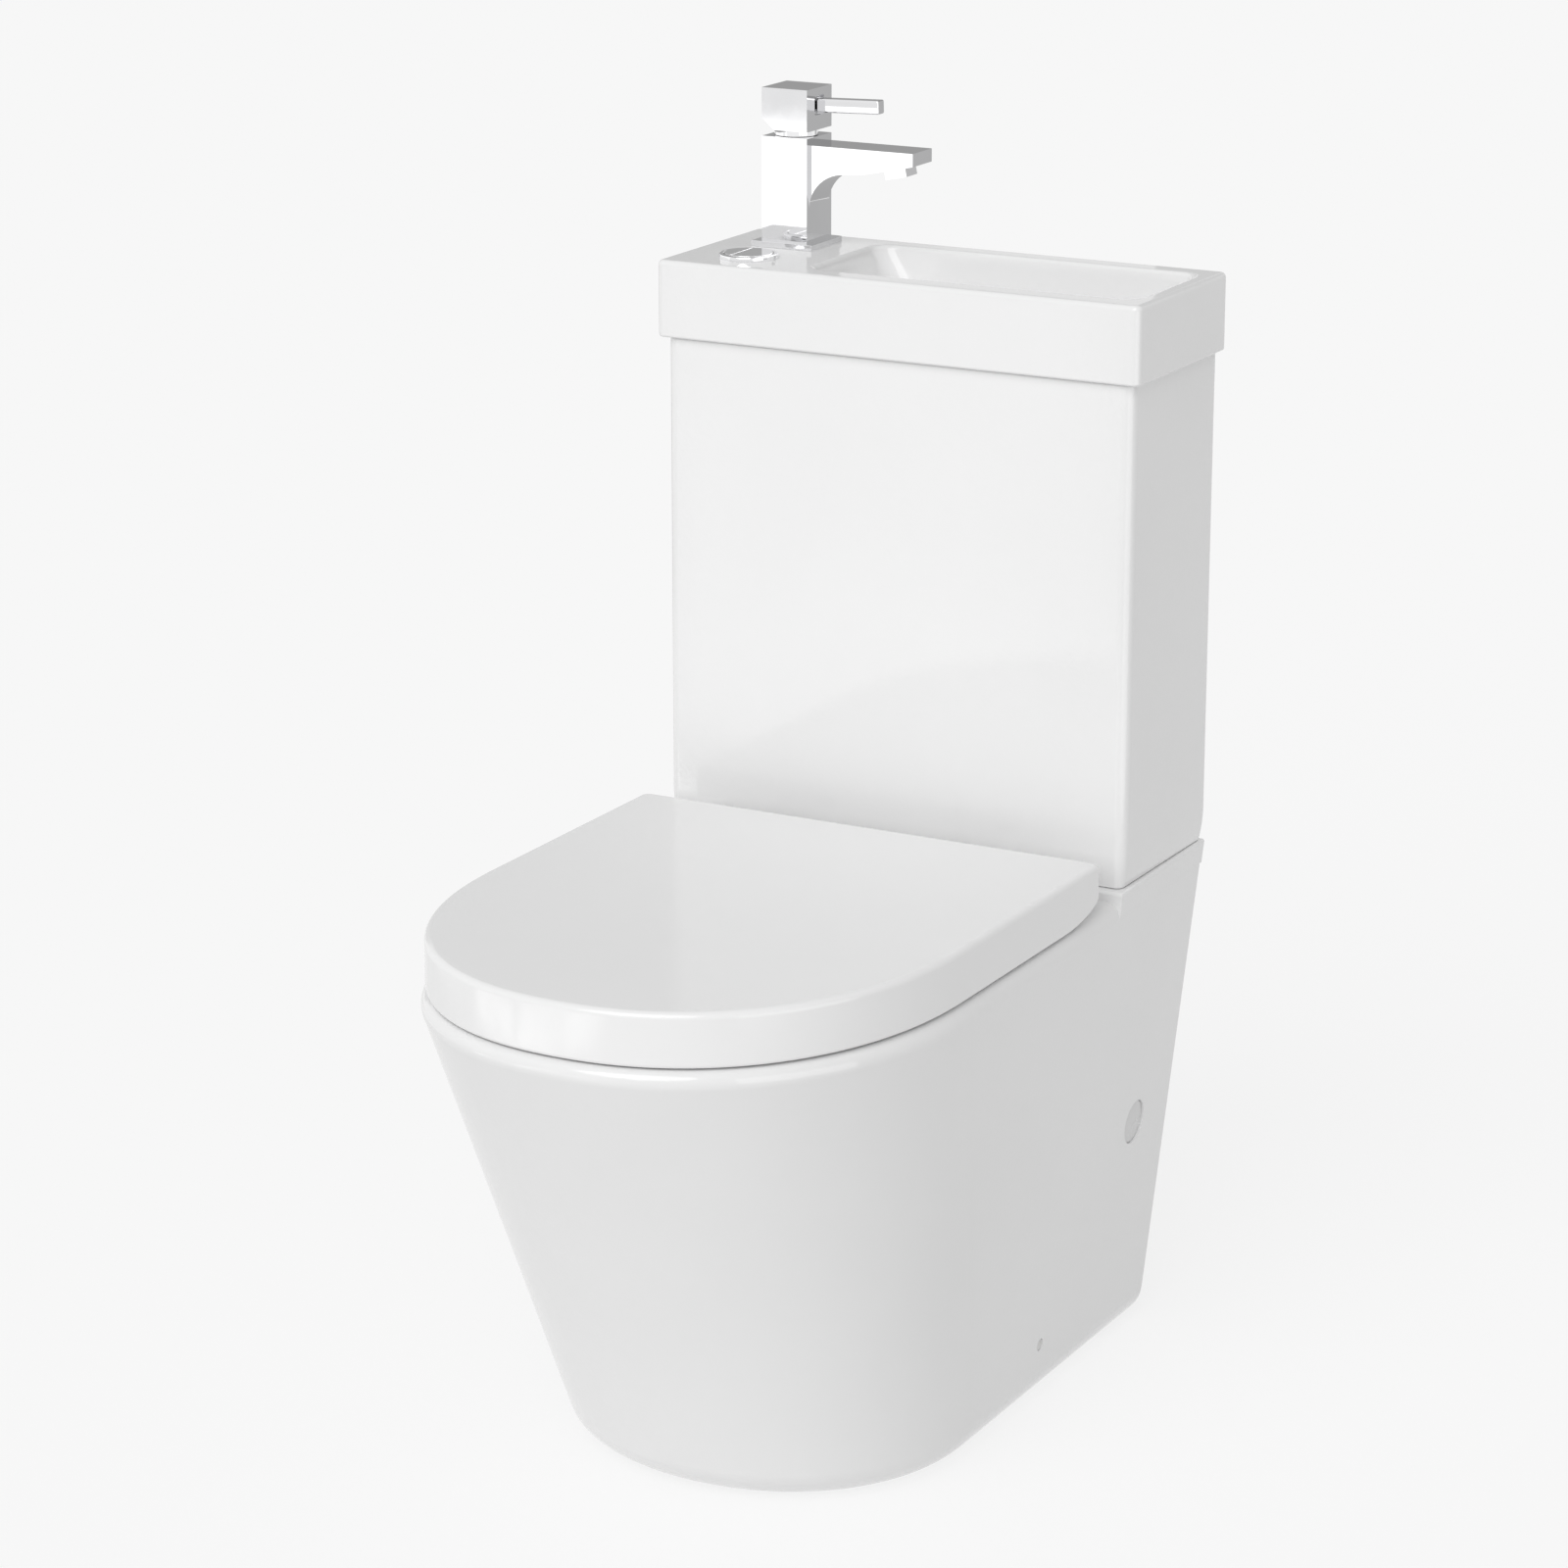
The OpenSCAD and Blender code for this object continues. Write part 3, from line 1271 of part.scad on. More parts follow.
pan();
cistern();
basin();
seat_ring();
seat_lid();
seat_buffers();
lid_buffers();
hinge_posts();
hinge_pins();
seat_bolts();
seat_washers();
seat_nuts();
coupling_bolts();
coupling_rubbers();
coupling_washers();
wing_nuts();
doughnut_seal();
flush_valve_body();
flush_valve_washer();
flush_valve_nut();
flush_stem();
flush_seal();
half_flush_float();
air_tubes();
button_housing();
button_bezel();
button_nut();
full_button();
half_button();
full_button_spring();
half_button_spring();
fill_valve();
fill_float();
fill_arm();
fill_washer();
fill_nut();
tap_plate();
tap_body();
tap_cartridge();
tap_ring_nut();
tap_neck();
tap_spindle();
tap_head();
tap_head_pin();
tap_lever();
tap_grub_screw();
tap_aerator();
tap_stud();
tap_horseshoe();
tap_stud_nut();
tap_tails();
waste_flange();
waste_grid();
waste_screw();
waste_washer();
waste_nut();
waste_tail();
access_caps();
floor_brackets();
side_screws();
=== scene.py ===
import json
import math

import bmesh
import bpy
import numpy as np
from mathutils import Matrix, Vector

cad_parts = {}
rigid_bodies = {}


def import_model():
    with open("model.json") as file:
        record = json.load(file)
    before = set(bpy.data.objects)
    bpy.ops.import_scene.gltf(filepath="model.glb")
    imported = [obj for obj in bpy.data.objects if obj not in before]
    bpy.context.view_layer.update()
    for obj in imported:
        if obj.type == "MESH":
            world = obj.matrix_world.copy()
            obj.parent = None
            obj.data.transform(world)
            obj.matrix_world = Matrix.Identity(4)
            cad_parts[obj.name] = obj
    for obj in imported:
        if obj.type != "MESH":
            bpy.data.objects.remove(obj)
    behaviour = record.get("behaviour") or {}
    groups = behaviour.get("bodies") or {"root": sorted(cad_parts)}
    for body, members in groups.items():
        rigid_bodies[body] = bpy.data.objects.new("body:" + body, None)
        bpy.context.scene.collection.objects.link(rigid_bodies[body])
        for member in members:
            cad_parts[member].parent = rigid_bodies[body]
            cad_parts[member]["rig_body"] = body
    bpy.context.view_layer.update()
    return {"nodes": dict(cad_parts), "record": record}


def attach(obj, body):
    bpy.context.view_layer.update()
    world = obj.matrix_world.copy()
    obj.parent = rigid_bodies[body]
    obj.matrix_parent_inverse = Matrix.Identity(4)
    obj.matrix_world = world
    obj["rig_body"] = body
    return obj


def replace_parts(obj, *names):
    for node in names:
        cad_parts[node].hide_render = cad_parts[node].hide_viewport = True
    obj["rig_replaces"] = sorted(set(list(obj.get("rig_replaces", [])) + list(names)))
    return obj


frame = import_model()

# --- Camera and studio -------------------------------------------------------
# The view of the photograph: a long lens from the front right and a little above. The unit stands on a
# pale floor under an even sky, with one broad soft lamp in front and a little to its left.
# Measures are in mm with y = 0 at the wall, and new_object moves them into the row's frame in metres.
MM = 0.001
WALL = 328.75
view_azimuth, view_elevation = math.radians(28.44), math.radians(16.49)
view_distance = 3.488
view_target = np.array([-0.01406, 0.02875, 0.49086])
view_back = np.array([
    math.sin(view_azimuth) * math.cos(view_elevation),
    -math.cos(view_azimuth) * math.cos(view_elevation),
    math.sin(view_elevation)])
camera_data = bpy.data.cameras.new("camera")
camera_data.lens = 109.26
camera_data.sensor_width = 36
camera = bpy.data.objects.new("camera", camera_data)
camera.location = view_target + view_back * view_distance
camera.rotation_mode = "QUATERNION"
camera.rotation_quaternion = Vector(-view_back).to_track_quat("-Z", "Y")
bpy.context.scene.collection.objects.link(camera)
bpy.context.scene.camera = camera
bpy.context.scene.view_settings.view_transform = "Standard"


def node_in(tree, kind, **values):
    """Adds a shader node and sets its own options and its named inputs."""
    n = tree.nodes.new(kind)
    for key, value in values.items():
        if hasattr(n, key):
            setattr(n, key, value)
        else:
            n.inputs[key.replace("_", " ")].default_value = value
    return n


def seen_mask(tree):
    """1 for the rays that show the background: straight from the camera, in gloss, and through glass."""
    rays = tree.nodes.new("ShaderNodeLightPath")
    first = node_in(tree, "ShaderNodeMath", operation="MAXIMUM")
    second = node_in(tree, "ShaderNodeMath", operation="MAXIMUM")
    tree.links.new(rays.outputs["Is Camera Ray"], first.inputs[0])
    tree.links.new(rays.outputs["Is Glossy Ray"], first.inputs[1])
    tree.links.new(first.outputs[0], second.inputs[0])
    tree.links.new(rays.outputs["Is Transmission Ray"], second.inputs[1])
    return second.outputs[0]


world = bpy.data.worlds.new("studio")
bpy.context.scene.world = world
world.use_nodes = True
wt = world.node_tree
wt.nodes.clear()
sky_light = node_in(wt, "ShaderNodeBackground", Color=(1, 1, 1, 1), Strength=0.50)
sky_seen = node_in(wt, "ShaderNodeBackground", Color=(1, 1, 1, 1), Strength=0.96)
sky_mix = wt.nodes.new("ShaderNodeMixShader")
sky_out = wt.nodes.new("ShaderNodeOutputWorld")
wt.links.new(seen_mask(wt), sky_mix.inputs[0])
wt.links.new(sky_light.outputs[0], sky_mix.inputs[1])
wt.links.new(sky_seen.outputs[0], sky_mix.inputs[2])
wt.links.new(sky_mix.outputs[0], sky_out.inputs[0])

key_data = bpy.data.lights.new("key", "SUN")
key_data.energy = 1.6
key_data.angle = math.radians(50)
key = bpy.data.objects.new("key", key_data)
key.rotation_mode = "QUATERNION"
key.rotation_quaternion = Vector((-0.03, 0.36, -0.28)).to_track_quat("-Z", "Y")
bpy.context.scene.collection.objects.link(key)


def stage_plane(name, corners, material):
    """A flat stage piece through its corners."""
    mesh = bpy.data.meshes.new(name)
    mesh.from_pydata(corners, [], [tuple(range(len(corners)))])
    mesh.materials.append(material)
    obj = bpy.data.objects.new(name, mesh)
    bpy.context.scene.collection.objects.link(obj)
    return obj


# The floor is lit from below as well, so the unit throws only a faint shadow on it
floor_paint = bpy.data.materials.new("floor_paint")
floor_paint.use_nodes = True
ft = floor_paint.node_tree
ft.nodes.clear()
floor_mask = seen_mask(ft)
floor_sides = []
for share, glow in ((0.55, 0.28), (0.16, 0.80)):
    body = node_in(ft, "ShaderNodeBsdfDiffuse", Color=(share, share, share, 1))
    light = node_in(ft, "ShaderNodeEmission", Color=(1, 1, 1, 1), Strength=glow)
    both = ft.nodes.new("ShaderNodeAddShader")
    ft.links.new(body.outputs[0], both.inputs[0])
    ft.links.new(light.outputs[0], both.inputs[1])
    floor_sides.append(both)
floor_mix = ft.nodes.new("ShaderNodeMixShader")
floor_out = ft.nodes.new("ShaderNodeOutputMaterial")
ft.links.new(floor_mask, floor_mix.inputs[0])
ft.links.new(floor_sides[0].outputs[0], floor_mix.inputs[1])
ft.links.new(floor_sides[1].outputs[0], floor_mix.inputs[2])
ft.links.new(floor_mix.outputs[0], floor_out.inputs[0])
FLOOR = 40
stage_plane("floor", [(-FLOOR, -FLOOR, 0), (FLOOR, -FLOOR, 0), (FLOOR, FLOOR, 0), (-FLOOR, FLOOR, 0)],
            floor_paint)


def gloss_card(name, corners, level):
    """A glowing card that shows in polished surfaces only."""
    paint = bpy.data.materials.new(name + "_paint")
    paint.use_nodes = True
    tree = paint.node_tree
    tree.nodes.clear()
    glow = node_in(tree, "ShaderNodeEmission", Color=(1, 1, 1, 1), Strength=level)
    out = tree.nodes.new("ShaderNodeOutputMaterial")
    tree.links.new(glow.outputs[0], out.inputs[0])
    card = stage_plane(name, corners, paint)
    card.visible_camera = False
    card.visible_diffuse = False
    card.visible_shadow = False
    card.visible_transmission = False


def upright_card(name, y, low, high, level):
    """A gloss card that stands across the row at a depth, between two corners in x and z."""
    (x0, z0), (x1, z1) = low, high
    gloss_card(name, [(x0, y, z0), (x1, y, z0), (x1, y, z1), (x0, y, z1)], level)


def floor_card(name, corners, level):
    """A gloss card that lies just over the floor."""
    gloss_card(name, [(x, y, 0.004) for x, y in corners], level)


# Dark cards just behind the unit, in the order in which they show: the tops of the tap's head and lever,
# the button's dome, the right faces of the tap, the underside of the spout, the basin's deck, and the
# left half of the seat lid
upright_card("card_tap_tops", 0.60, (-0.9, 0.955), (0.3, 1.5), 0.36)
upright_card("card_button", 0.60, (-0.9, 0.87), (-0.27, 0.955), 0.42)
upright_card("card_tap_right", 0.60, (0.02, 0.70), (0.17, 0.93), 0.50)
upright_card("card_spout", 0.61, (-0.3, 0.55), (0.02, 0.845), 0.45)
upright_card("card_deck", 0.62, (-0.5, 0.86), (0.6, 0.96), 0.88)
upright_card("card_lid", 0.60, (-1.4, 0.38), (-0.25, 0.82), 0.65)
# Bright cards: the cistern's right front edge, the pan's front, the lid's wall left and right of its nose
# with the pan's highlight, the D-shaped light on the cistern, and the unit's left side
gloss_card("card_edge", [(1.04, -1.0, 0.05), (1.64, 0.12, 0.05), (1.64, 0.12, 0.95), (1.04, -1.0, 0.95)],
           2.2)
floor_card("card_front", [(-1.4, -0.8), (0.0, -0.8), (-0.2, -1.05), (-1.6, -1.05)], 1.3)
floor_card("card_lid_left", [(-1.27, -0.64), (-0.818, -1.003), (-0.874, -1.073), (-1.005, -1.109),
                             (-1.317, -0.859)], 3.4)
floor_card("card_lid_right", [(-0.818, -1.003), (-0.136, -1.55), (-0.394, -1.625), (-0.846, -1.262),
                              (-0.858, -1.086)], 3.4)
floor_card("card_cistern", [(-1.0, -1.25), (-0.45, -1.25), (-2.3, -5.2), (-3.3, -5.2)], 1.6)
floor_card("card_left_floor", [(-2.4, -0.6), (-1.3, -0.6), (-1.3, 0.8), (-2.4, 0.8)], 1.2)
gloss_card("card_left", [(-2.4, -1.8, 0.1), (-2.4, 1.6, 0.1), (-2.4, 1.6, 2.6), (-2.4, -1.8, 2.6)], 1.2)

# --- Pan ---------------------------------------------------------------------
# One hollow casting of white vitreous china with a smooth skirt down to the floor. The bowl, the trap,
# the spigot and the ledge under the cistern are cast with it, and the whole is glazed.
RIM_Z = 391
PAN_HALF_W = 201.4
PAN_REAR_HALF_W = 192
BASE_HALF_W = 155.4
BASE_FRONT = 475
BASE_BACK = 20
RIM_R, RIM_DROP = 14, 14
RIM_TURN = math.radians(22.5)
TUCK, TUCK_FROM, TUCK_START, TUCK_RUN = 0.014, 0.84, 250, 150
FOOT_R = 27
PAN_WALL = 11
LEDGE_Z = 398.5
LEDGE_FRONT = 160
SIDE_END, BASE_SIDE_END = 418.6, 322.9
FRONT_POWER, BASE_POWER = 2.18, 2.09
OVERALL_D = 657.5
SLAB_Z = RIM_Z - PAN_WALL - 2
NOSE_STEPS, SIDE_STEPS, CORNER_STEPS = 112, 26, 12


def d_line(half_w, rear_half_w, back, corner_r, side, front, power):
    """A closed line seen from above, in mm from the wall: a superellipse nose, x = w |cos t|^(2/p) and
    y = side + (front - side) |sin t|^(2/p), straight sides, and two quarter circles at the back."""
    t = np.linspace(0, math.pi, NOSE_STEPS + 1)
    c, s = np.cos(t), np.clip(np.sin(t), 0, 1)
    nose = np.stack([half_w * np.sign(c) * np.abs(c) ** (2 / power),
                     -side - (front - side) * s ** (2 / power)], 1)
    a = np.linspace(0, math.pi / 2, CORNER_STEPS + 1)
    left = np.stack([-rear_half_w + corner_r * (1 - np.cos(a)), -back - corner_r * (1 - np.sin(a))], 1)
    right = np.stack([rear_half_w - corner_r * (1 - np.sin(a)), -back - corner_r * (1 - np.cos(a))], 1)
    u = np.linspace(0, 1, SIDE_STEPS + 1)[1:-1, None]
    return np.concatenate([nose, nose[-1] + (left[0] - nose[-1]) * (1 - (1 - u) ** 1.6), left,
                           left[-1] + (right[0] - left[-1]) * u, right,
                           right[-1] + (nose[0] - right[-1]) * u ** 1.6])


def at_height(line, z):
    """A flat line lifted to a height, or to one height for each of its points."""
    return np.column_stack([line, np.broadcast_to(z, len(line))])


def pan_line(z, inset=0.0, back_inset=None):
    """The pan's outer line at a height: every measure goes in a straight line from floor to rim. The front
    is placed so that it reaches the overall depth at RIM_TURN up the rim's rounding. Just under the rim
    the front half's sides are drawn in by up to TUCK of their width, with the square of the height over
    TUCK_FROM of the rim's height."""
    t = z / RIM_Z
    rim_front = BASE_FRONT + RIM_Z * (OVERALL_D - BASE_FRONT + RIM_R * (1 - math.cos(RIM_TURN))) / (
        RIM_Z - RIM_R * (1 - math.sin(RIM_TURN)))
    line = d_line(BASE_HALF_W + (PAN_HALF_W - BASE_HALF_W) * t - inset,
                  BASE_HALF_W + (PAN_REAR_HALF_W - BASE_HALF_W) * t - inset,
                  BASE_BACK * (1 - z / LEDGE_Z) + (inset if back_inset is None else back_inset), 4,
                  BASE_SIDE_END + (SIDE_END - BASE_SIDE_END) * t,
                  BASE_FRONT + (rim_front - BASE_FRONT) * t - inset,
                  BASE_POWER + (FRONT_POWER - BASE_POWER) * t)
    height = (max(0, t - TUCK_FROM) / (1 - TUCK_FROM)) ** 2
    line[:, 0] *= 1 - TUCK * height * np.clip((-line[:, 1] - TUCK_START) / TUCK_RUN, 0, 1)
    return line


def new_object(name, points, faces):
    """A mesh object from points in mm from the wall, placed in the row frame in metres."""
    co = np.asarray(points, float).reshape(-1, 3) + (0, WALL, 0)
    mesh = bpy.data.meshes.new(name)
    mesh.from_pydata((co * MM).tolist(), [], [list(map(int, f)) for f in faces])
    obj = bpy.data.objects.new(name, mesh)
    bpy.context.scene.collection.objects.link(obj)
    return obj


def outward(obj):
    """Turns every face of a closed mesh outwards."""
    bm = bmesh.new()
    bm.from_mesh(obj.data)
    bmesh.ops.recalc_face_normals(bm, faces=bm.faces)
    bm.to_mesh(obj.data)
    bm.free()
    return obj


def skin(name, rings, capped=True):
    """A closed surface through a stack of rings with as many points each. Without caps the last ring
    joins the first, which makes a torus."""
    rings = np.asarray(rings, float)
    m, n = rings.shape[:2]
    i = np.arange(n)
    j = (i + 1) % n
    k = np.arange(m - 1 if capped else m)[:, None]
    a, b = k * n, (k + 1) % m * n
    quads = np.stack([a + i, a + j, b + j, b + i], -1).reshape(-1, 4).tolist()
    caps = [list(range(n)), list(range((m - 1) * n, m * n))[::-1]] if capped else []
    return outward(new_object(name, rings, quads + caps))


def block(name, low, high):
    """A box between two corners."""
    (x0, y0, z0), (x1, y1, z1) = low, high
    points = [(x, y, z) for z in (z0, z1) for y in (y0, y1) for x in (x0, x1)]
    return outward(new_object(name, points, [(0, 1, 3, 2), (4, 5, 7, 6), (0, 1, 5, 4), (2, 3, 7, 6),
                                             (0, 2, 6, 4), (1, 3, 7, 5)]))


def rod(name, start, way, radii, lengths, steps=64):
    """A turned solid along a way from a start: radius radii[k] at distance lengths[k]."""
    way = np.asarray(way, float) / np.linalg.norm(way)
    side = np.cross(way, (0, 0, 1) if abs(way[2]) < 0.9 else (1, 0, 0))
    side /= np.linalg.norm(side)
    t = np.linspace(0, 2 * math.pi, steps, endpoint=False)
    circle = np.cos(t)[:, None] * side + np.sin(t)[:, None] * np.cross(way, side)
    rings = [np.asarray(start) + way * l + circle * r for r, l in zip(radii, lengths)]
    return skin(name, rings)


def combine(obj, parts, operation, solver="MANIFOLD"):
    """Joins the parts to obj, or cuts them out of it, and deletes them."""
    for part in parts:
        m = obj.modifiers.new("combine", "BOOLEAN")
        m.operation, m.object, m.solver = operation, part, solver
    bpy.context.view_layer.update()
    mesh = bpy.data.meshes.new_from_object(obj.evaluated_get(bpy.context.evaluated_depsgraph_get()))
    obj.modifiers.clear()
    obj.data = mesh
    for part in parts:
        bpy.data.objects.remove(part)
    return obj


def shaded(obj, angle=32, weighted=True):
    """Smooth shading, kept sharp over an angle, with the normals of the large faces kept flat."""
    obj.data.shade_smooth()
    obj.data.set_sharp_from_angle(angle=math.radians(angle))
    if weighted:
        m = obj.modifiers.new("normals", "WEIGHTED_NORMAL")
        m.keep_sharp = True
        m.weight = 60
    return obj


def between(a, b, count):
    """Rings in equal steps between two rings, both left out."""
    return [a + (b - a) * t for t in np.linspace(0, 1, count + 2)[1:-1]]


BOWL_HALF_W, BOWL_BACK, BOWL_FRONT, SUMP_Z = 140, 234, 603, 55
# Each level line of the bowl: its share of the mouth's half width, how far its back and its front lie
# from the mouth's, and its share of the height
BOWL_STEPS = [(0.93, 4, -14, 0.82), (0.78, 14, -58, 0.62), (0.60, 30, -110, 0.46),
              (0.46, 46, -148, 0.36), (0.36, 56, -176, 0.24), (0.31, 64, -200, 0.11)]


def bowl_mouth(grow):
    """The edge of the bowl's mouth."""
    hw = BOWL_HALF_W + grow
    return d_line(hw, hw, BOWL_BACK - grow, 0.62 * hw, 400, BOWL_FRONT + grow, FRONT_POWER)


def bowl_line(k, grow):
    """A level line of the bowl's inside, with nearly round ends."""
    share, back, front, height = BOWL_STEPS[k]
    hw = BOWL_HALF_W * share + grow
    back, front = BOWL_BACK + back - grow, BOWL_FRONT + front + grow
    line = d_line(hw, hw, back, 0.62 * hw, (back + front) / 2, front, 2.1)
    return at_height(line, SUMP_Z + (RIM_Z - SUMP_Z) * height - (PAN_WALL * 0.4 if grow else 0))


def bowl_floor(grow):
    """The floor of the bowl's sump."""
    hw = BOWL_HALF_W * 0.2 + grow
    back, front = BOWL_BACK + 74 - grow, BOWL_FRONT - 216 + grow
    return d_line(hw, hw, back, 0.62 * hw, (back + front) / 2, front, 2.1)


def smooth_rings(rings, count):
    """More rings on a smooth curve through a few: each point follows a Catmull-Rom spline."""
    r = np.asarray(rings)
    r = np.concatenate([2 * r[:1] - r[1:2], r, 2 * r[-1:] - r[-2:-1]])
    out = [r[1]]
    for k in range(1, len(r) - 2):
        for t in np.linspace(0, 1, count + 1)[1:]:
            out.append(0.5 * (2 * r[k] + (r[k + 1] - r[k - 1]) * t
                              + (2 * r[k - 1] - 5 * r[k] + 4 * r[k + 1] - r[k + 2]) * t * t
                              + (3 * r[k] - 3 * r[k + 1] + r[k + 2] - r[k - 1]) * t ** 3))
    return out


quarter = np.radians(np.linspace(0, 90, 10))
MOUTH_R = 8
wall_low = at_height(pan_line(FOOT_R), FOOT_R)
wall_high = at_height(pan_line(RIM_Z - RIM_DROP), RIM_Z - RIM_DROP)
pan_rings = [at_height(bowl_floor(PAN_WALL), SUMP_Z - PAN_WALL)]
pan_rings += [bowl_line(k, PAN_WALL) for k in range(len(BOWL_STEPS) - 1, -1, -1)]
pan_rings += [
    at_height(bowl_mouth(PAN_WALL), SLAB_Z), at_height(pan_line(SLAB_Z, PAN_WALL), SLAB_Z),
    at_height(pan_line(FOOT_R * 1.6, PAN_WALL), FOOT_R * 1.6),
    at_height(pan_line(FOOT_R * 0.6, FOOT_R + PAN_WALL * 0.5), FOOT_R * 0.6),
    at_height(pan_line(0, FOOT_R + PAN_WALL), 0)]
pan_rings += [at_height(pan_line(z, FOOT_R * (1 - math.sin(a)), 0), z)
              for a in quarter for z in [FOOT_R * (1 - math.cos(a))]]
pan_rings += between(wall_low, wall_high, 18)
pan_rings += [at_height(pan_line(z, RIM_R * (1 - math.cos(a)), 0), z)
              for a in quarter for z in [RIM_Z - RIM_DROP * (1 - math.sin(a))]]
pan_rings += [at_height(bowl_mouth(MOUTH_R * (1 - math.sin(a))), RIM_Z - MOUTH_R * (1 - math.cos(a)))
              for a in quarter[::2]]
pan_rings += smooth_rings([at_height(bowl_mouth(0), RIM_Z - MOUTH_R)]
                          + [bowl_line(k, 0) for k in range(len(BOWL_STEPS))]
                          + [at_height(bowl_floor(0), SUMP_Z)], 5)[1:]
pan = skin("pan_casting", pan_rings)
combine(pan, [block("back_space", (-148, -72, -1), (148, 2, 335))], "DIFFERENCE")


def rounding(radius, inset_start, z_start, z_way, steps=5):
    """Pairs of inset and height round a quarter circle that turns from upright to level."""
    return [(inset_start + radius * (1 - math.cos(a)), z_start + z_way * radius * math.sin(a))
            for a in np.linspace(0, math.pi / 2, steps + 1)]


def rear_half_w(z):
    """Half width of the pan's sides at the wall, at a height."""
    return BASE_HALF_W + (PAN_REAR_HALF_W - BASE_HALF_W) * z / RIM_Z


def ledge_ring(z, inset):
    """The ledge's outline at a height, from the wall to its front edge."""
    w, grow = rear_half_w(z) - inset, (PAN_HALF_W - PAN_REAR_HALF_W) * LEDGE_FRONT / SIDE_END
    back = BASE_BACK * max(0, 1 - z / LEDGE_Z) + inset
    return [(w + grow, -LEDGE_FRONT + inset, z), (-w - grow, -LEDGE_FRONT + inset, z), (-w, -back, z),
            (w, -back, z)]


TRAP_R, OUTLET_Z, OUTLET_R, OUTLET_BORE_R = 40, 180, 51, 43
TRAP_TURN, TRAP_START, TRAP_END, WEIR_RISE = 60, 304, 66, 44
VALVE_Y, COUPLING_X, NOTCH_IN, NOTCH_OUT = 77.5, 90, 105, 165
SEAT_BOLT_X, SEAT_BOLT_Y = 77.5, 177
LEDGE_R = 2.6
trap_in_z = SUMP_Z + TRAP_R
trap_fall = math.acos(1 - WEIR_RISE / (2 * TRAP_TURN))
weir_z, weir_y = OUTLET_Z + WEIR_RISE, TRAP_END + 2 * TRAP_TURN * math.sin(trap_fall)
rise = np.radians(np.linspace(0, 60, 9))
over = np.linspace(math.radians(60), -trap_fall, 17)
down = np.linspace(trap_fall, 0, 9)[1:]
trap_route = np.array(
    [(TRAP_START - TRAP_TURN * math.sin(a), trap_in_z + TRAP_TURN * (1 - math.cos(a))) for a in rise]
    + [(weir_y + TRAP_TURN * math.sin(a), weir_z - TRAP_TURN * (1 - math.cos(a))) for a in over]
    + [(TRAP_END + TRAP_TURN * math.sin(a), OUTLET_Z + TRAP_TURN * (1 - math.cos(a))) for a in down]
    + [(TRAP_END - 4, OUTLET_Z)])


def trap_pipe(name, radius):
    """A round pipe along the trap's route, square to it everywhere."""
    p = np.column_stack([np.zeros(len(trap_route)), -trap_route[:, 0], trap_route[:, 1]])
    way = np.gradient(p, axis=0)
    way /= np.linalg.norm(way, axis=1, keepdims=True)
    up = np.cross(way, (1, 0, 0))
    t = np.linspace(0, 2 * math.pi, 40, endpoint=False)
    across, upward = np.cos(t)[None, :, None], np.sin(t)[None, :, None]
    return skin(name, p[:, None] + radius * (across * (1, 0, 0) + upward * up[:, None]))


combine(pan, [
    skin("ledge", [ledge_ring(SLAB_Z + 1, 0)] + [ledge_ring(LEDGE_Z - LEDGE_R + z, i)
                                                 for i, z in rounding(LEDGE_R, 0, 0, 1, 7)]),
    trap_pipe("trap", TRAP_R + PAN_WALL - 0.5),
    rod("spigot", (0, -67, OUTLET_Z), (0, 1, 0), (OUTLET_R, OUTLET_R), (0, 37)),
    block("chamber", (-62, -238, 318), (62, -14, 387))], "UNION")

CAP_Y, CAP_Z, CAP_R = 79.5, 188, 17.5
wall_lean = math.atan((PAN_REAR_HALF_W - BASE_HALF_W) / RIM_Z)
wall_run = (CAP_Y - BASE_BACK * (1 - CAP_Z / LEDGE_Z)) / (SIDE_END - BASE_SIDE_END * (1 - CAP_Z / RIM_Z))
cap_x = rear_half_w(CAP_Z) + (PAN_HALF_W - PAN_REAR_HALF_W) * CAP_Z / RIM_Z * wall_run
SCREW_Y, SCREW_Z, SCREW_IN = 216, 51, 20


def cap_place(side):
    """The middle of an access cap on the pan's side, and the way in which it faces."""
    return (np.array([side * cap_x, -CAP_Y, CAP_Z]),
            np.array([side * math.cos(wall_lean), 0, -math.sin(wall_lean)]))


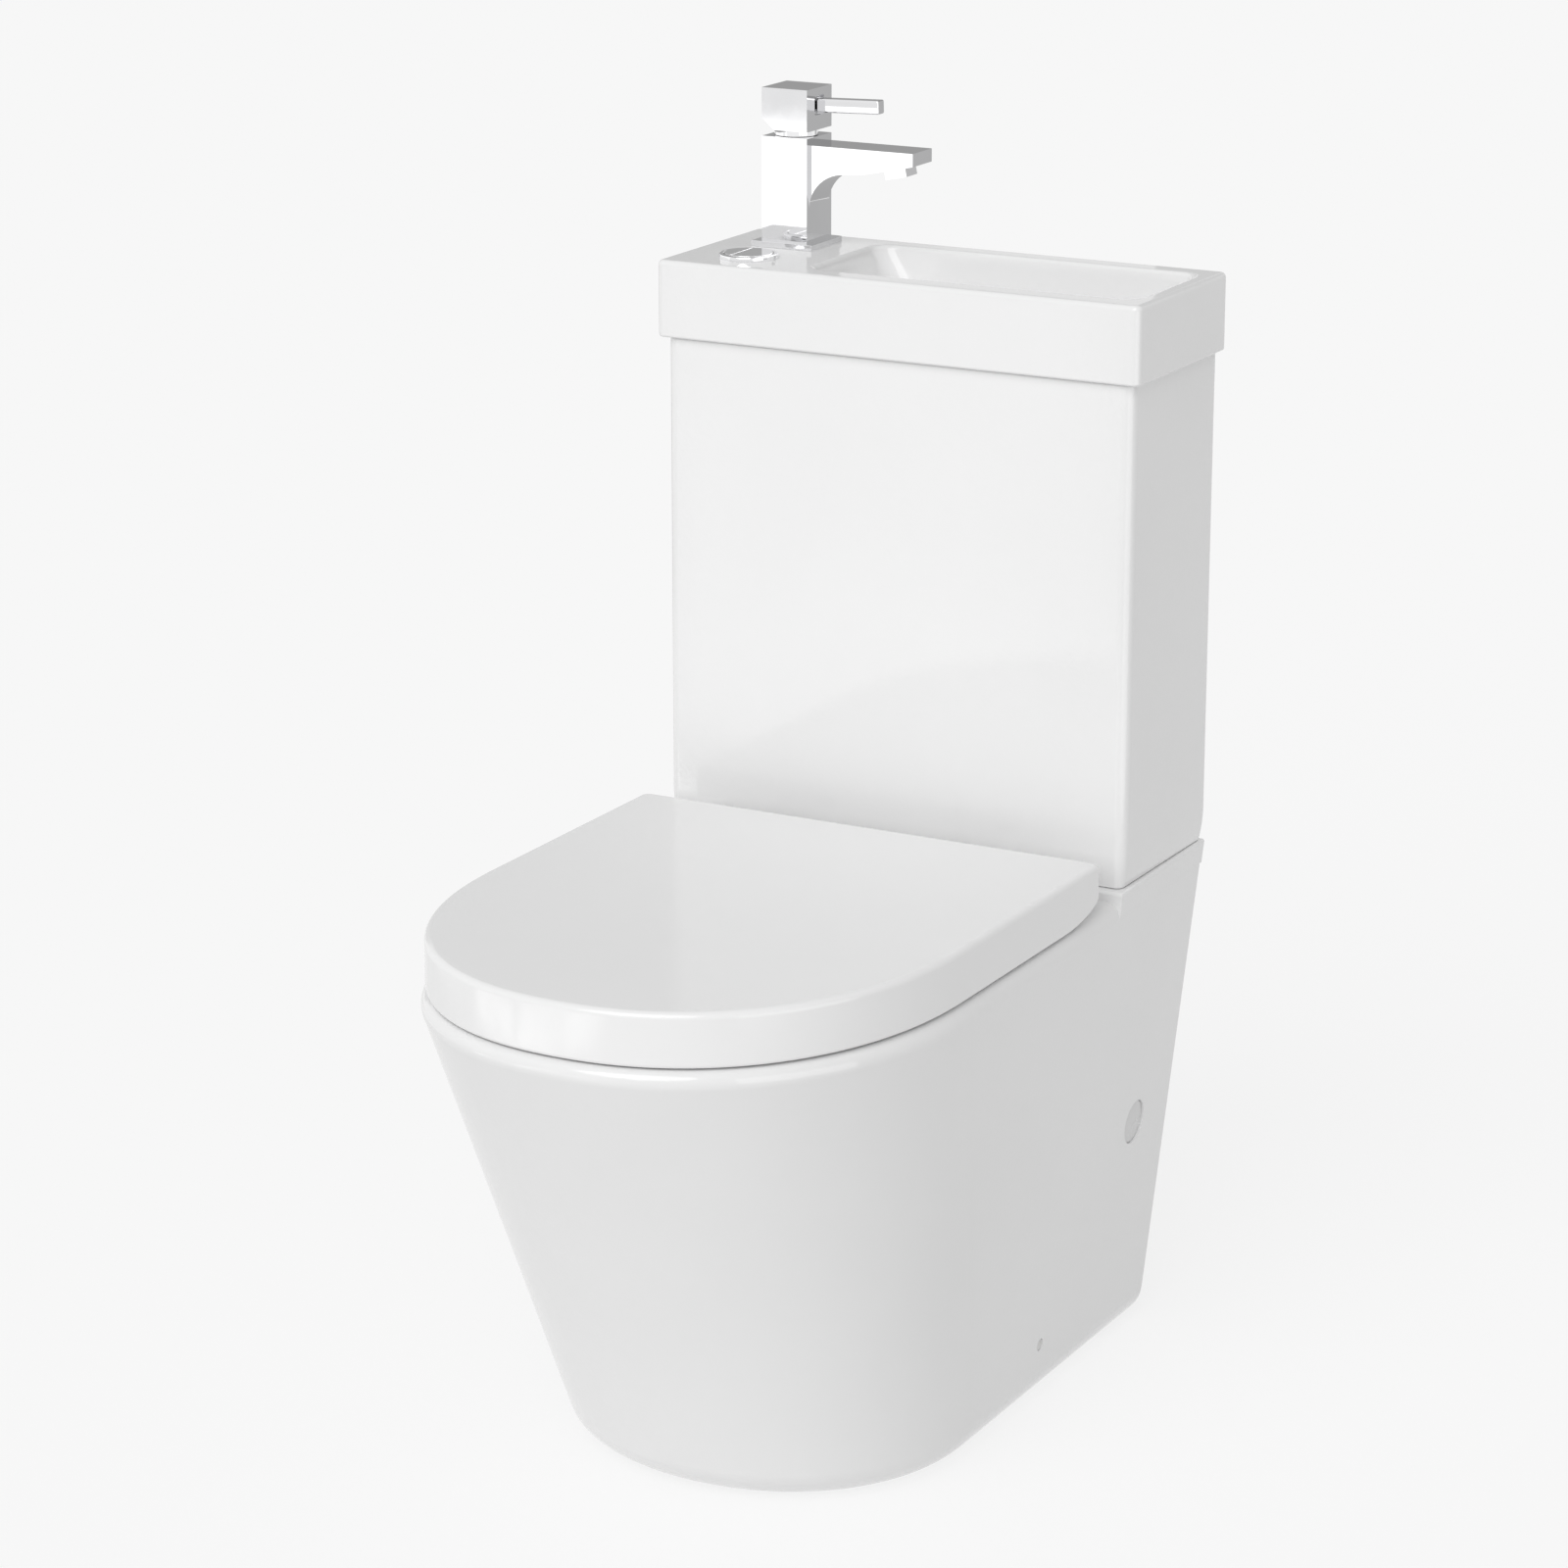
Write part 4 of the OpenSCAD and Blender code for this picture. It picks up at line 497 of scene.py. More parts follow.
cutters = [
    skin("sump", [at_height(bowl_floor(-0.6), SUMP_Z + 0.6)] + [bowl_line(k, 0) for k in (5, 4, 3)]),
    trap_pipe("waterway", TRAP_R),
    rod("outlet_bore", (0, -68, OUTLET_Z), (0, 1, 0), (OUTLET_BORE_R, OUTLET_BORE_R), (0, 40)),
    rod("inlet_recess", (0, -VALVE_Y, LEDGE_Z - 34), (0, 0, 1), (54, 54), (0, 40), 96),
    rod("inlet", (0, -VALVE_Y, 328), (0, 0, 1), (30, 30), (0, 60)),
    block("slot", (-40, -246, 328), (40, -VALVE_Y, 362))]
for side in (-1, 1):
    face, out = cap_place(side)
    left, right = sorted((side * NOTCH_IN, side * NOTCH_OUT))
    cutters += [
        rod("coupling_hole", (side * COUPLING_X, -VALVE_Y, SLAB_Z - 2), (0, 0, 1), (6, 6), (0, 30), 32),
        block("notch", (left, -100, SLAB_Z - 2), (right, 1, 420)),
        rod("seat_hole", (side * SEAT_BOLT_X, -SEAT_BOLT_Y, SLAB_Z - 2), (0, 0, 1), (5.5, 5.5), (0, 30),
            32),
        rod("screw_hole", (side * (BASE_HALF_W - SCREW_IN), -SCREW_Y, SCREW_Z), (side, 0, 0), (3.3, 3.3),
            (0, 30), 32),
        rod("screw_recess", (side * BASE_HALF_W, -SCREW_Y, SCREW_Z), (side, 0, 0), (5, 5), (0, 40), 32),
        rod("cap_recess", face - out * 5, out, (CAP_R, CAP_R), (0, 30), 96),
        rod("cap_hole", face - out * 30, out, (CAP_R - 3, CAP_R - 3), (0, 40), 64)]
combine(pan, cutters, "DIFFERENCE")
shaded(pan, 34)


# A finish shared by every material: two tones mixed by soft cloudy noise, a gloss that wanders between
# two values, and a fine relief for the bump
finish = bpy.data.node_groups.new("surface_finish", "ShaderNodeTree")
for label, kind, start in (
        ("Tone", "NodeSocketColor", (0.8, 0.8, 0.8, 1)),
        ("Shade", "NodeSocketColor", (0.78, 0.78, 0.78, 1)),
        ("Cloud Scale", "NodeSocketFloat", 9.0), ("Gloss Low", "NodeSocketFloat", 0.1),
        ("Gloss High", "NodeSocketFloat", 0.2), ("Relief Scale", "NodeSocketFloat", 400.0)):
    socket = finish.interface.new_socket(label, in_out="INPUT", socket_type=kind)
    socket.default_value = start
for label, kind in (("Color", "NodeSocketColor"), ("Roughness", "NodeSocketFloat"),
                    ("Height", "NodeSocketFloat")):
    finish.interface.new_socket(label, in_out="OUTPUT", socket_type=kind)
fin = finish.nodes.new("NodeGroupInput")
fout = finish.nodes.new("NodeGroupOutput")
place = finish.nodes.new("ShaderNodeTexCoord")
cloud = node_in(finish, "ShaderNodeTexNoise", Detail=3.0, Roughness=0.55)
smear = node_in(finish, "ShaderNodeTexNoise", Scale=38.0, Detail=4.0, Roughness=0.6)
relief = node_in(finish, "ShaderNodeTexNoise", Detail=2.0, Roughness=0.5)
tones = node_in(finish, "ShaderNodeMix", data_type="RGBA")
gloss = node_in(finish, "ShaderNodeMapRange")
gloss.inputs["From Min"].default_value, gloss.inputs["From Max"].default_value = 0.3, 0.7
contrast = node_in(finish, "ShaderNodeMapRange")
contrast.inputs["From Min"].default_value, contrast.inputs["From Max"].default_value = 0.35, 0.65
fl = finish.links.new
for texture in (cloud, smear, relief):
    fl(place.outputs["Object"], texture.inputs["Vector"])
fl(fin.outputs["Cloud Scale"], cloud.inputs["Scale"])
fl(fin.outputs["Relief Scale"], relief.inputs["Scale"])
fl(cloud.outputs["Fac"], contrast.inputs["Value"])
fl(contrast.outputs["Result"], tones.inputs[0])
fl(fin.outputs["Tone"], tones.inputs[6])
fl(fin.outputs["Shade"], tones.inputs[7])
fl(smear.outputs["Fac"], gloss.inputs["Value"])
fl(fin.outputs["Gloss Low"], gloss.inputs["To Min"])
fl(fin.outputs["Gloss High"], gloss.inputs["To Max"])
fl(tones.outputs[2], fout.inputs["Color"])
fl(gloss.outputs["Result"], fout.inputs["Roughness"])
fl(relief.outputs["Fac"], fout.inputs["Height"])


def material(name, tone, shade, gloss, metallic=0.0, ior=1.5, cloud=9.0, relief=400.0, bump=0.1,
             depth=0.0002):
    """A material from the shared finish: tones, gloss range, and the fine relief's scale and depth."""
    mat = bpy.data.materials.new(name)
    mat.use_nodes = True
    tree = mat.node_tree
    tree.nodes.clear()
    group = tree.nodes.new("ShaderNodeGroup")
    group.node_tree = finish
    for key, value in (("Tone", (*tone, 1)), ("Shade", (*shade, 1)), ("Cloud Scale", cloud),
                       ("Gloss Low", gloss[0]), ("Gloss High", gloss[1]), ("Relief Scale", relief)):
        group.inputs[key].default_value = value
    bumps = node_in(tree, "ShaderNodeBump", Strength=bump, Distance=depth)
    body = node_in(tree, "ShaderNodeBsdfPrincipled", Metallic=metallic, IOR=ior)
    out = tree.nodes.new("ShaderNodeOutputMaterial")
    tree.links.new(group.outputs["Color"], body.inputs["Base Color"])
    tree.links.new(group.outputs["Roughness"], body.inputs["Roughness"])
    tree.links.new(group.outputs["Height"], bumps.inputs["Height"])
    tree.links.new(bumps.outputs["Normal"], body.inputs["Normal"])
    tree.links.new(body.outputs[0], out.inputs[0])
    return mat


def wear(obj, mat, body, slot, *nodes):
    """Gives a piece its material, its body, and the CAD nodes that it stands for. The slot is not used."""
    obj.data.materials.clear()
    obj.data.materials.append(mat)
    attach(obj, body)
    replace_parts(obj, *nodes)
    return obj


china = material("glazed_china", (0.845, 0.845, 0.845), (0.83, 0.83, 0.83), (0.03, 0.06), ior=1.52, cloud=5,
                 relief=300, bump=0.35, depth=0.00015)
wear(pan, china, "toilet", "glazed_ceramic", "pan")

# --- Cistern -----------------------------------------------------------------
# A plain open box of the same china that stands on the pan's ledge, with its upright edges rounded. Two
# bolts through its floor hold it down, and two screws through its back hold it to the wall.
CISTERN_W, CISTERN_D, CISTERN_H, CISTERN_R = 388, 155, 382.5, 9
CISTERN_WALL, CISTERN_FLOOR, CISTERN_INNER_R = 9, 10, 7
BOTTOM_R, MOUTH_EDGE_R, FLOOR_R = 0.8, 1.5, 6
CISTERN_Z = LEDGE_Z + 0.5
CISTERN_TOP = CISTERN_Z + CISTERN_H
FLOOR_Z = CISTERN_Z + CISTERN_FLOOR


def round_rect(width, depth, radius, steps=10, x=0.0, y=0.0):
    """A rectangle with quarter circles at its corners, seen from above."""
    a = np.radians(np.linspace(90, 0, steps + 1))
    corners = []
    for k, (sx, sy) in enumerate(((1, 1), (1, -1), (-1, -1), (-1, 1))):
        t = a - k * math.pi / 2
        corners.append(np.stack([x + sx * (width / 2 - radius) + radius * np.cos(t),
                                 y + sy * (depth / 2 - radius) + radius * np.sin(t)], 1))
    return np.concatenate(corners)


def box_ring(width, depth, radius, inset, z, y):
    """A rounded rectangle drawn in by an inset, at a height."""
    return at_height(round_rect(width - 2 * inset, depth - 2 * inset, max(radius - inset, 0.4), y=y), z)


cistern_y = -CISTERN_D / 2
# The foot is drawn in by PINCH and swings out to the full size over its lowest PINCH_H
PINCH, PINCH_H = 3, 26
outer = [(PINCH + i, z) for i, z in rounding(BOTTOM_R, 0, CISTERN_Z + BOTTOM_R, -1)[::-1]]
outer += [(PINCH * (1 - t) ** 2, CISTERN_Z + BOTTOM_R + PINCH_H * t) for t in (0.15, 0.3, 0.5, 0.75, 1)]
outer += [(0, CISTERN_Z + CISTERN_H * t) for t in (0.25, 0.5, 0.75)]
outer += rounding(MOUTH_EDGE_R, 0, CISTERN_TOP - MOUTH_EDGE_R, 1)
cistern_rings = [box_ring(CISTERN_W, CISTERN_D, CISTERN_R, i, z, cistern_y) for i, z in outer]
inner = rounding(MOUTH_EDGE_R, 0, CISTERN_TOP - MOUTH_EDGE_R, 1)[::-1] + [(0, FLOOR_Z + FLOOR_R)]
inner += rounding(FLOOR_R, 0, FLOOR_Z + FLOOR_R, -1)[1:]
cistern_rings += [box_ring(CISTERN_W - 2 * CISTERN_WALL, CISTERN_D - 2 * CISTERN_WALL, CISTERN_INNER_R,
                           i if z < CISTERN_TOP - 10 else -i, z, cistern_y) for i, z in inner]
cistern = skin("cistern_casting", cistern_rings)
FILL_X, WALL_HOLE_X, WALL_HOLE_DROP = 135, 120, 45
cutters = [
    rod("valve_hole", (0, -VALVE_Y, CISTERN_Z - 1), (0, 0, 1), (30.5, 30.5), (0, 12)),
    rod("fill_hole", (FILL_X, -VALVE_Y, CISTERN_Z - 1), (0, 0, 1), (11.5, 11.5), (0, 12)),
    block("tail_notch", (-163, -10, CISTERN_TOP - 24), (-115, 1, CISTERN_TOP + 1))]
for side in (-1, 1):
    cutters += [
        rod("bolt_hole", (side * COUPLING_X, -VALVE_Y, CISTERN_Z - 1), (0, 0, 1), (6, 6), (0, 12), 32),
        rod("wall_hole", (side * WALL_HOLE_X, -10, CISTERN_TOP - WALL_HOLE_DROP), (0, 1, 0), (4, 4),
            (0, 11), 32)]
combine(cistern, cutters, "DIFFERENCE")
shaded(cistern, 34)
wear(cistern, china, "toilet", "glazed_ceramic", "cistern")

# --- Basin -------------------------------------------------------------------
# The cistern's lid is a shallow hand basin of the same china. Its deck on the left is drilled for the
# tap and the button, and a hollow under the deck takes their fixings.
BASIN_W, BASIN_D, BASIN_H, BASIN_R, BASIN_WALL, BASIN_DEPTH = 400, 160, 59, 4, 10, 60
BASIN_LOW_R, BASIN_CORNER_R = 2, 6
BOWL_LEFT, BOWL_RIGHT, RIM_BACK_W, RIM_FRONT_W = 82, 186, 20, 23
BASIN_Z = CISTERN_TOP + 0.5
DECK_Z = BASIN_Z + BASIN_H
BASIN_FLOOR_Z = DECK_Z - BASIN_DEPTH
basin_y = -BASIN_D / 2
basin_bowl_w, basin_bowl_x = BOWL_LEFT + BOWL_RIGHT, (BOWL_RIGHT - BOWL_LEFT) / 2
basin_bowl_d = BASIN_D - RIM_BACK_W - RIM_FRONT_W
basin_bowl_y = RIM_BACK_W + basin_bowl_d / 2
outer = rounding(BASIN_LOW_R, 0, BASIN_Z + BASIN_LOW_R, -1)[::-1]
outer += [(0, BASIN_Z + BASIN_H * t) for t in (0.3, 0.6)]
outer += rounding(BASIN_R, 0, DECK_Z - BASIN_R, 1, 8)
basin_rings = [box_ring(BASIN_W, BASIN_D, BASIN_CORNER_R, i, z, basin_y) for i, z in outer]


def basin_bowl_ring(left, right, across, radius, z):
    """A level line of the basin's bowl, drawn in at its left and right ends and across."""
    line = round_rect(basin_bowl_w - left - right, basin_bowl_d - across, radius,
                      x=basin_bowl_x + (left - right) / 2, y=-basin_bowl_y)
    return at_height(line, z)


LIP = 4
bowl_rings = [basin_bowl_ring(-LIP, -LIP, -2 * LIP, 18, DECK_Z + 1)]
bowl_rings += [basin_bowl_ring(-LIP * (1 - s), -LIP * (1 - s), -2 * LIP * (1 - s), 16 + 2 * (1 - s),
                                DECK_Z - LIP * (1 - c))
                for s, c in ((math.sin(a), math.cos(a)) for a in np.radians(np.linspace(0, 75, 7)))]
bowl_rings += smooth_rings([
    basin_bowl_ring(0.4, 0.3, 0.3, 16, DECK_Z - LIP - 1),
    basin_bowl_ring(12, 6, 5, 18, DECK_Z - 24),
    basin_bowl_ring(26, 14, 12, 20, BASIN_FLOOR_Z + 16),
    basin_bowl_ring(44, 30, 30, 20, BASIN_FLOOR_Z + 4),
    basin_bowl_ring(76, 60, 54, 14, BASIN_FLOOR_Z)], 5)
basin = skin("basin_casting", basin_rings)
belly_z = BASIN_FLOOR_Z - BASIN_WALL
mouth_w, mouth_d = CISTERN_W - 2 * CISTERN_WALL - 4, CISTERN_D - 2 * CISTERN_WALL - 4
# A low rib under the basin drops inside the cistern's mouth and keeps the two in line
RIB_H, RIB_W = 8, 6
rib = skin("rib", [at_height(round_rect(mouth_w - g, mouth_d - g, 5, y=cistern_y), z)
                   for g, z in ((0, BASIN_Z + 1), (1, BASIN_Z - RIB_H), (2 * RIB_W - 1, BASIN_Z - RIB_H),
                                (2 * RIB_W, BASIN_Z + 1))], False)
POCKET_W = BASIN_W / 2 - BOWL_LEFT - 22
combine(rib, [block("rib_gap", (-200, -160, BASIN_Z - 9), (-200 + POCKET_W + 12, 0, BASIN_Z + 2))],
        "DIFFERENCE")
# The bowl's thickness under the basin
belly = skin("belly", [at_height(round_rect(basin_bowl_w - 50 - g, basin_bowl_d - 24 - g, 20,
                                            x=basin_bowl_x, y=-basin_bowl_y), z)
                       for g, z in ((12, belly_z), (4, belly_z + 2), (0, belly_z + 6), (0, BASIN_Z + 10))])
combine(basin, [rib, belly], "UNION")
TAP_X, TAP_Y, BUTTON_X, BUTTON_Y = 139, 49, 142, 120
combine(basin, [
    skin("bowl_space", bowl_rings),
    block("pocket", (-188, -148, BASIN_Z - 1), (-188 + POCKET_W, -14, DECK_Z - BASIN_WALL)),
    rod("waste_hole", (basin_bowl_x, -basin_bowl_y, belly_z - 1), (0, 0, 1), (23, 23), (0, 30)),
    rod("tap_hole", (-TAP_X, -TAP_Y, DECK_Z - 11), (0, 0, 1), (17.5, 17.5), (0, 12)),
    rod("button_hole", (-BUTTON_X, -BUTTON_Y, DECK_Z - 11), (0, 0, 1), (20.5, 20.5), (0, 12))],
        "DIFFERENCE")
shaded(basin, 34)
wear(basin, china, "toilet", "glazed_ceramic", "basin")

# --- Access caps -------------------------------------------------------------
# A round white cap on each side of the pan closes the hole through which the soil pipe is joined. It
# presses in flush with the bottom of a shallow recess. Its grey tone is painted shade for the recess.
caps = None
for side in (-1, 1):
    face, out = cap_place(side)
    one = rod("access_cap", face - out * 5, out,
              (CAP_R - 0.6, CAP_R - 0.2, CAP_R - 0.2, CAP_R - 0.45, CAP_R - 0.9, 8),
              (0, 0.4, 2.4, 2.8, 3, 3), 96)
    caps = one if caps is None else combine(caps, [one], "UNION")
caps.name = "access_caps_white"
shaded(caps, 50)
# The cap's tone is darker than the china: painted shade for the recess it sits in
cap_painted_shade = material("cap_painted_shade", (0.71, 0.71, 0.71), (0.70, 0.70, 0.70), (0.2, 0.3), relief=200, bump=0.05)
wear(caps, cap_painted_shade, "toilet", "seat_plastic", "access_caps")

# --- Seat ring ---------------------------------------------------------------
# The seat ring is pressed from white thermoset. It is crowned on top with rounded edges, and two ears at
# its back turn on the hinge pins. The lid covers it when it is down.
HINGE_Y, HINGE_Z, PIN_HOLE_R = 206, RIM_Z + 19, 3.55
LID_HALF_W, LID_BACK, LID_FRONT, LID_Z, LID_H, LID_R, LID_WALL = 194, 194, 653.5, RIM_Z + 1.2, 40, 5, 5
LID_TOP = LID_Z + LID_H
RING_Z, RING_H, RING_INSET = RIM_Z + 6, 22, 7.5
ring_half_w, ring_front, ring_back = LID_HALF_W - RING_INSET, LID_FRONT - RING_INSET, HINGE_Y + 10
HOLE_HALF_W, HOLE_BACK, HOLE_FRONT = 116, 264, 572
ring_outer = d_line(ring_half_w, ring_half_w, ring_back, 20, SIDE_END, ring_front, FRONT_POWER)
ring_inner = d_line(HOLE_HALF_W, HOLE_HALF_W, HOLE_BACK, 70, 420, HOLE_FRONT, 2.1)
across = ring_inner - ring_outer
ring_width = np.linalg.norm(across, axis=1, keepdims=True)
across /= ring_width


def ring_at(from_outer, from_inner, share, z):
    """A line on the seat ring: a distance in from its outer edge and one from its inner edge, mixed by a
    share."""
    line = (ring_outer + across * from_outer) * (1 - share) + (ring_inner - across * from_inner) * share
    return at_height(line, z)


ring_low, ring_top = RING_Z, RING_Z + RING_H
EDGE_OUT, EDGE_IN = 7, 10
seat_rings = [ring_at(1.5, 0, 0, ring_low), ring_at(0.4, 0, 0, ring_low + 0.4),
              ring_at(0, 0, 0, ring_low + 1.5)]
seat_rings += [ring_at(EDGE_OUT * (1 - math.cos(a)), 0, 0, ring_top - (EDGE_OUT + 1) * (1 - math.sin(a)))
               for a in quarter]
seat_rings += [ring_at(EDGE_OUT, EDGE_IN, t, ring_top) for t in (0.25, 0.5, 0.75)]
seat_rings += [ring_at(0, EDGE_IN * (1 - math.cos(a)), 1, ring_top - EDGE_IN * (1 - math.sin(a)))
               for a in quarter[::-1]]
seat_rings += [ring_at(0, 0, 1, ring_low + 1.5), ring_at(0, 0.4, 1, ring_low + 0.4),
               ring_at(0, 1.5, 1, ring_low)]
seat = skin("seat_ring_moulding", seat_rings, False)
POST_IN, POST_OUT, EAR_W, EAR_GAP, EAR_R, EAR_EDGE = 69.5, 85.5, 18, 0.5, 6.5, 0.6


def hinge_ear(near, side):
    """The round ear that turns on a hinge pin, from its near end outwards, with a small edge."""
    return rod("ear", (near, -HINGE_Y, HINGE_Z), (side, 0, 0),
               (EAR_R - EAR_EDGE, EAR_R, EAR_R, EAR_R - EAR_EDGE), (0, EAR_EDGE, EAR_W - EAR_EDGE, EAR_W))


def hinge_bore(near, side):
    """The bore for the hinge pin through an ear."""
    return rod("pin_hole", (near - side, -HINGE_Y, HINGE_Z), (side, 0, 0), (PIN_HOLE_R, PIN_HOLE_R),
               (0, EAR_W + 2), 32)


ears, pin_holes = [], []
for side in (-1, 1):
    near, far = side * (POST_IN - EAR_GAP - EAR_W), side * (POST_IN - EAR_GAP)
    ears.append(hinge_ear(near, side))
    ears.append(block("ear_arm", (min(near, far) + EAR_EDGE, -ring_back - 6, HINGE_Z - 2),
                      (max(near, far) - EAR_EDGE, -HINGE_Y, HINGE_Z + 5.5)))
    pin_holes.append(hinge_bore(near, side))
combine(seat, ears, "UNION")
combine(seat, pin_holes, "DIFFERENCE")
shaded(seat, 34)
thermoset = material("white_thermoset", (0.86, 0.86, 0.86), (0.85, 0.85, 0.85), (0.11, 0.15), ior=1.5,
                     cloud=4, relief=35, bump=0.02, depth=0.0001)
wear(seat, thermoset, "seat", "seat_plastic", "seat_ring")

# --- Seat lid ----------------------------------------------------------------
# The lid is a D-shaped shell of the same thermoset that hides the ring. Its upper edge is softly rounded,
# and its wall sweeps up at the back so that it clears the pan as it swings.
SWEEP_L, SWEEP_H, LID_LOW_R = 60, 17, 2.8


def lid_line(inset, corner):
    """The lid's outline drawn in by an inset."""
    return d_line(LID_HALF_W - inset, LID_HALF_W - inset, LID_BACK + inset, corner, SIDE_END,
                  LID_FRONT - inset, FRONT_POWER)


swept = np.clip((lid_line(0, 5)[:, 1] + LID_BACK + SWEEP_L) / SWEEP_L, 0, 1)
lid_low = LID_Z + SWEEP_H * (1 - np.sqrt(1 - swept ** 2))
lid_rings = [at_height(lid_line(LID_WALL + 30, 3), LID_TOP - LID_WALL)]
lid_rings += [at_height(lid_line(LID_WALL + i, 3), z)
              for i, z in rounding(4, 0, LID_TOP - LID_WALL - 4, 1, 5)[::-1]]
lid_rings += [at_height(lid_line(LID_WALL, 3), np.maximum(lid_low + 1 + d, 0)) for d in (6, 0)]
lid_rings += [at_height(lid_line(LID_WALL - 1, 3.5), lid_low)]
lid_rings += [at_height(lid_line(i, 5 - i * 0.3), lid_low + LID_LOW_R - z)
              for i, z in rounding(LID_LOW_R, 0, 0, 1, 6)[::-1]]
lid_rings += [at_height(lid_line(0, 5), lid_low + LID_LOW_R + (LID_TOP - LID_R - lid_low - LID_LOW_R) * t)
              for t in (0.33, 0.66)]
lid_rings += [at_height(lid_line(i, 5 + i * 0.3), z) for i, z in rounding(LID_R, 0, LID_TOP - LID_R, 1, 9)]
lid_rings += [at_height(lid_line(LID_R + g, 7), LID_TOP) for g in (2, 12, 40, 90)]
lid = skin("seat_lid_moulding", lid_rings)
ears, holes, notches = [], [], []
for side in (-1, 1):
    near, far = side * (POST_OUT + EAR_GAP), side * (POST_OUT + EAR_GAP + EAR_W)
    ears.append(hinge_ear(near, side))
    ears.append(block("ear_arm", (min(near, far) + EAR_EDGE, -HINGE_Y - 6.2, HINGE_Z),
                      (max(near, far) - EAR_EDGE, -HINGE_Y + 6.2, LID_TOP - LID_WALL + 1)))
    holes.append(hinge_bore(near, side))
    left, right = sorted((side * (POST_IN - 1.5), side * (POST_OUT + 1.5)))
    notches.append(block("notch", (left, -LID_BACK - LID_WALL - 1, LID_Z),
                         (right, -LID_BACK + 1, LID_TOP - LID_WALL - 4)))
combine(lid, notches, "DIFFERENCE")
combine(lid, ears, "UNION")
combine(lid, holes, "DIFFERENCE")
shaded(lid, 34)
wear(lid, thermoset, "lid", "seat_plastic", "seat_lid")


# --- Pieces kept from the CAD ------------------------------------------------
# Turned, cast and moulded fittings keep their CAD shape. Each is copied with its loose triangles joined
# into whole faces, and its edges get the small rounding that polishing or moulding leaves.
def dressed(node, mat, bevel=0.4, segments=3, angle=30):
    """A copy of a CAD node with whole faces and rounded edges, which stands for the node."""
    source = frame["nodes"][node]
    co = np.zeros(len(source.data.vertices) * 3)
    source.data.vertices.foreach_get("co", co)
    mesh = bpy.data.meshes.new(node + "_piece")
    mesh.from_pydata(co.reshape(-1, 3).tolist(), [], [list(p.vertices) for p in source.data.polygons])
    bm = bmesh.new()
    bm.from_mesh(mesh)
    bmesh.ops.remove_doubles(bm, verts=bm.verts, dist=2e-6)
    bmesh.ops.dissolve_limit(bm, angle_limit=math.radians(0.5), verts=bm.verts, edges=bm.edges)
    bm.to_mesh(mesh)
    bm.free()
    obj = bpy.data.objects.new(node + "_piece", mesh)
    bpy.context.scene.collection.objects.link(obj)
    if bevel:
        m = obj.modifiers.new("edges", "BEVEL")
        m.width, m.segments, m.limit_method = bevel * MM, segments, "ANGLE"
        m.angle_limit = math.radians(angle)
        m.harden_normals = True
    shaded(obj, angle, weighted=not bevel)
    slot = next(s["material_slot"] for s in frame["record"]["subparts"] if s["node"] == node)
    return wear(obj, mat, source["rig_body"], slot, node)


# Chrome on the tap, the button and the waste, a lighter copy of it on the tap's neck and nozzle as a
# painted highlight, steel on bolts and springs, brass and copper on the water's way in, and mouldings and
# rubbers in and under the cistern
chrome = material("polished_chrome", (0.83, 0.83, 0.84), (0.80, 0.80, 0.81), (0.025, 0.06), metallic=1.0,
                  cloud=14, relief=60, bump=0.02, depth=0.0001)
# A lighter copy of the chrome that paints a highlight on the tap's neck and nozzle
painted_highlight_chrome = material("chrome_painted_highlight", (0.94, 0.94, 0.95), (0.92, 0.92, 0.93), (0.02, 0.05), metallic=1.0,
                         cloud=14, relief=60, bump=0.02, depth=0.0001)
steel = material("stainless_steel", (0.60, 0.60, 0.61), (0.52, 0.52, 0.53), (0.25, 0.4), metallic=1.0,
                 cloud=60, relief=1500, bump=0.15)
brass = material("turned_brass", (0.70, 0.53, 0.25), (0.60, 0.43, 0.19), (0.25, 0.42), metallic=1.0,
                 cloud=70, relief=1500, bump=0.15)
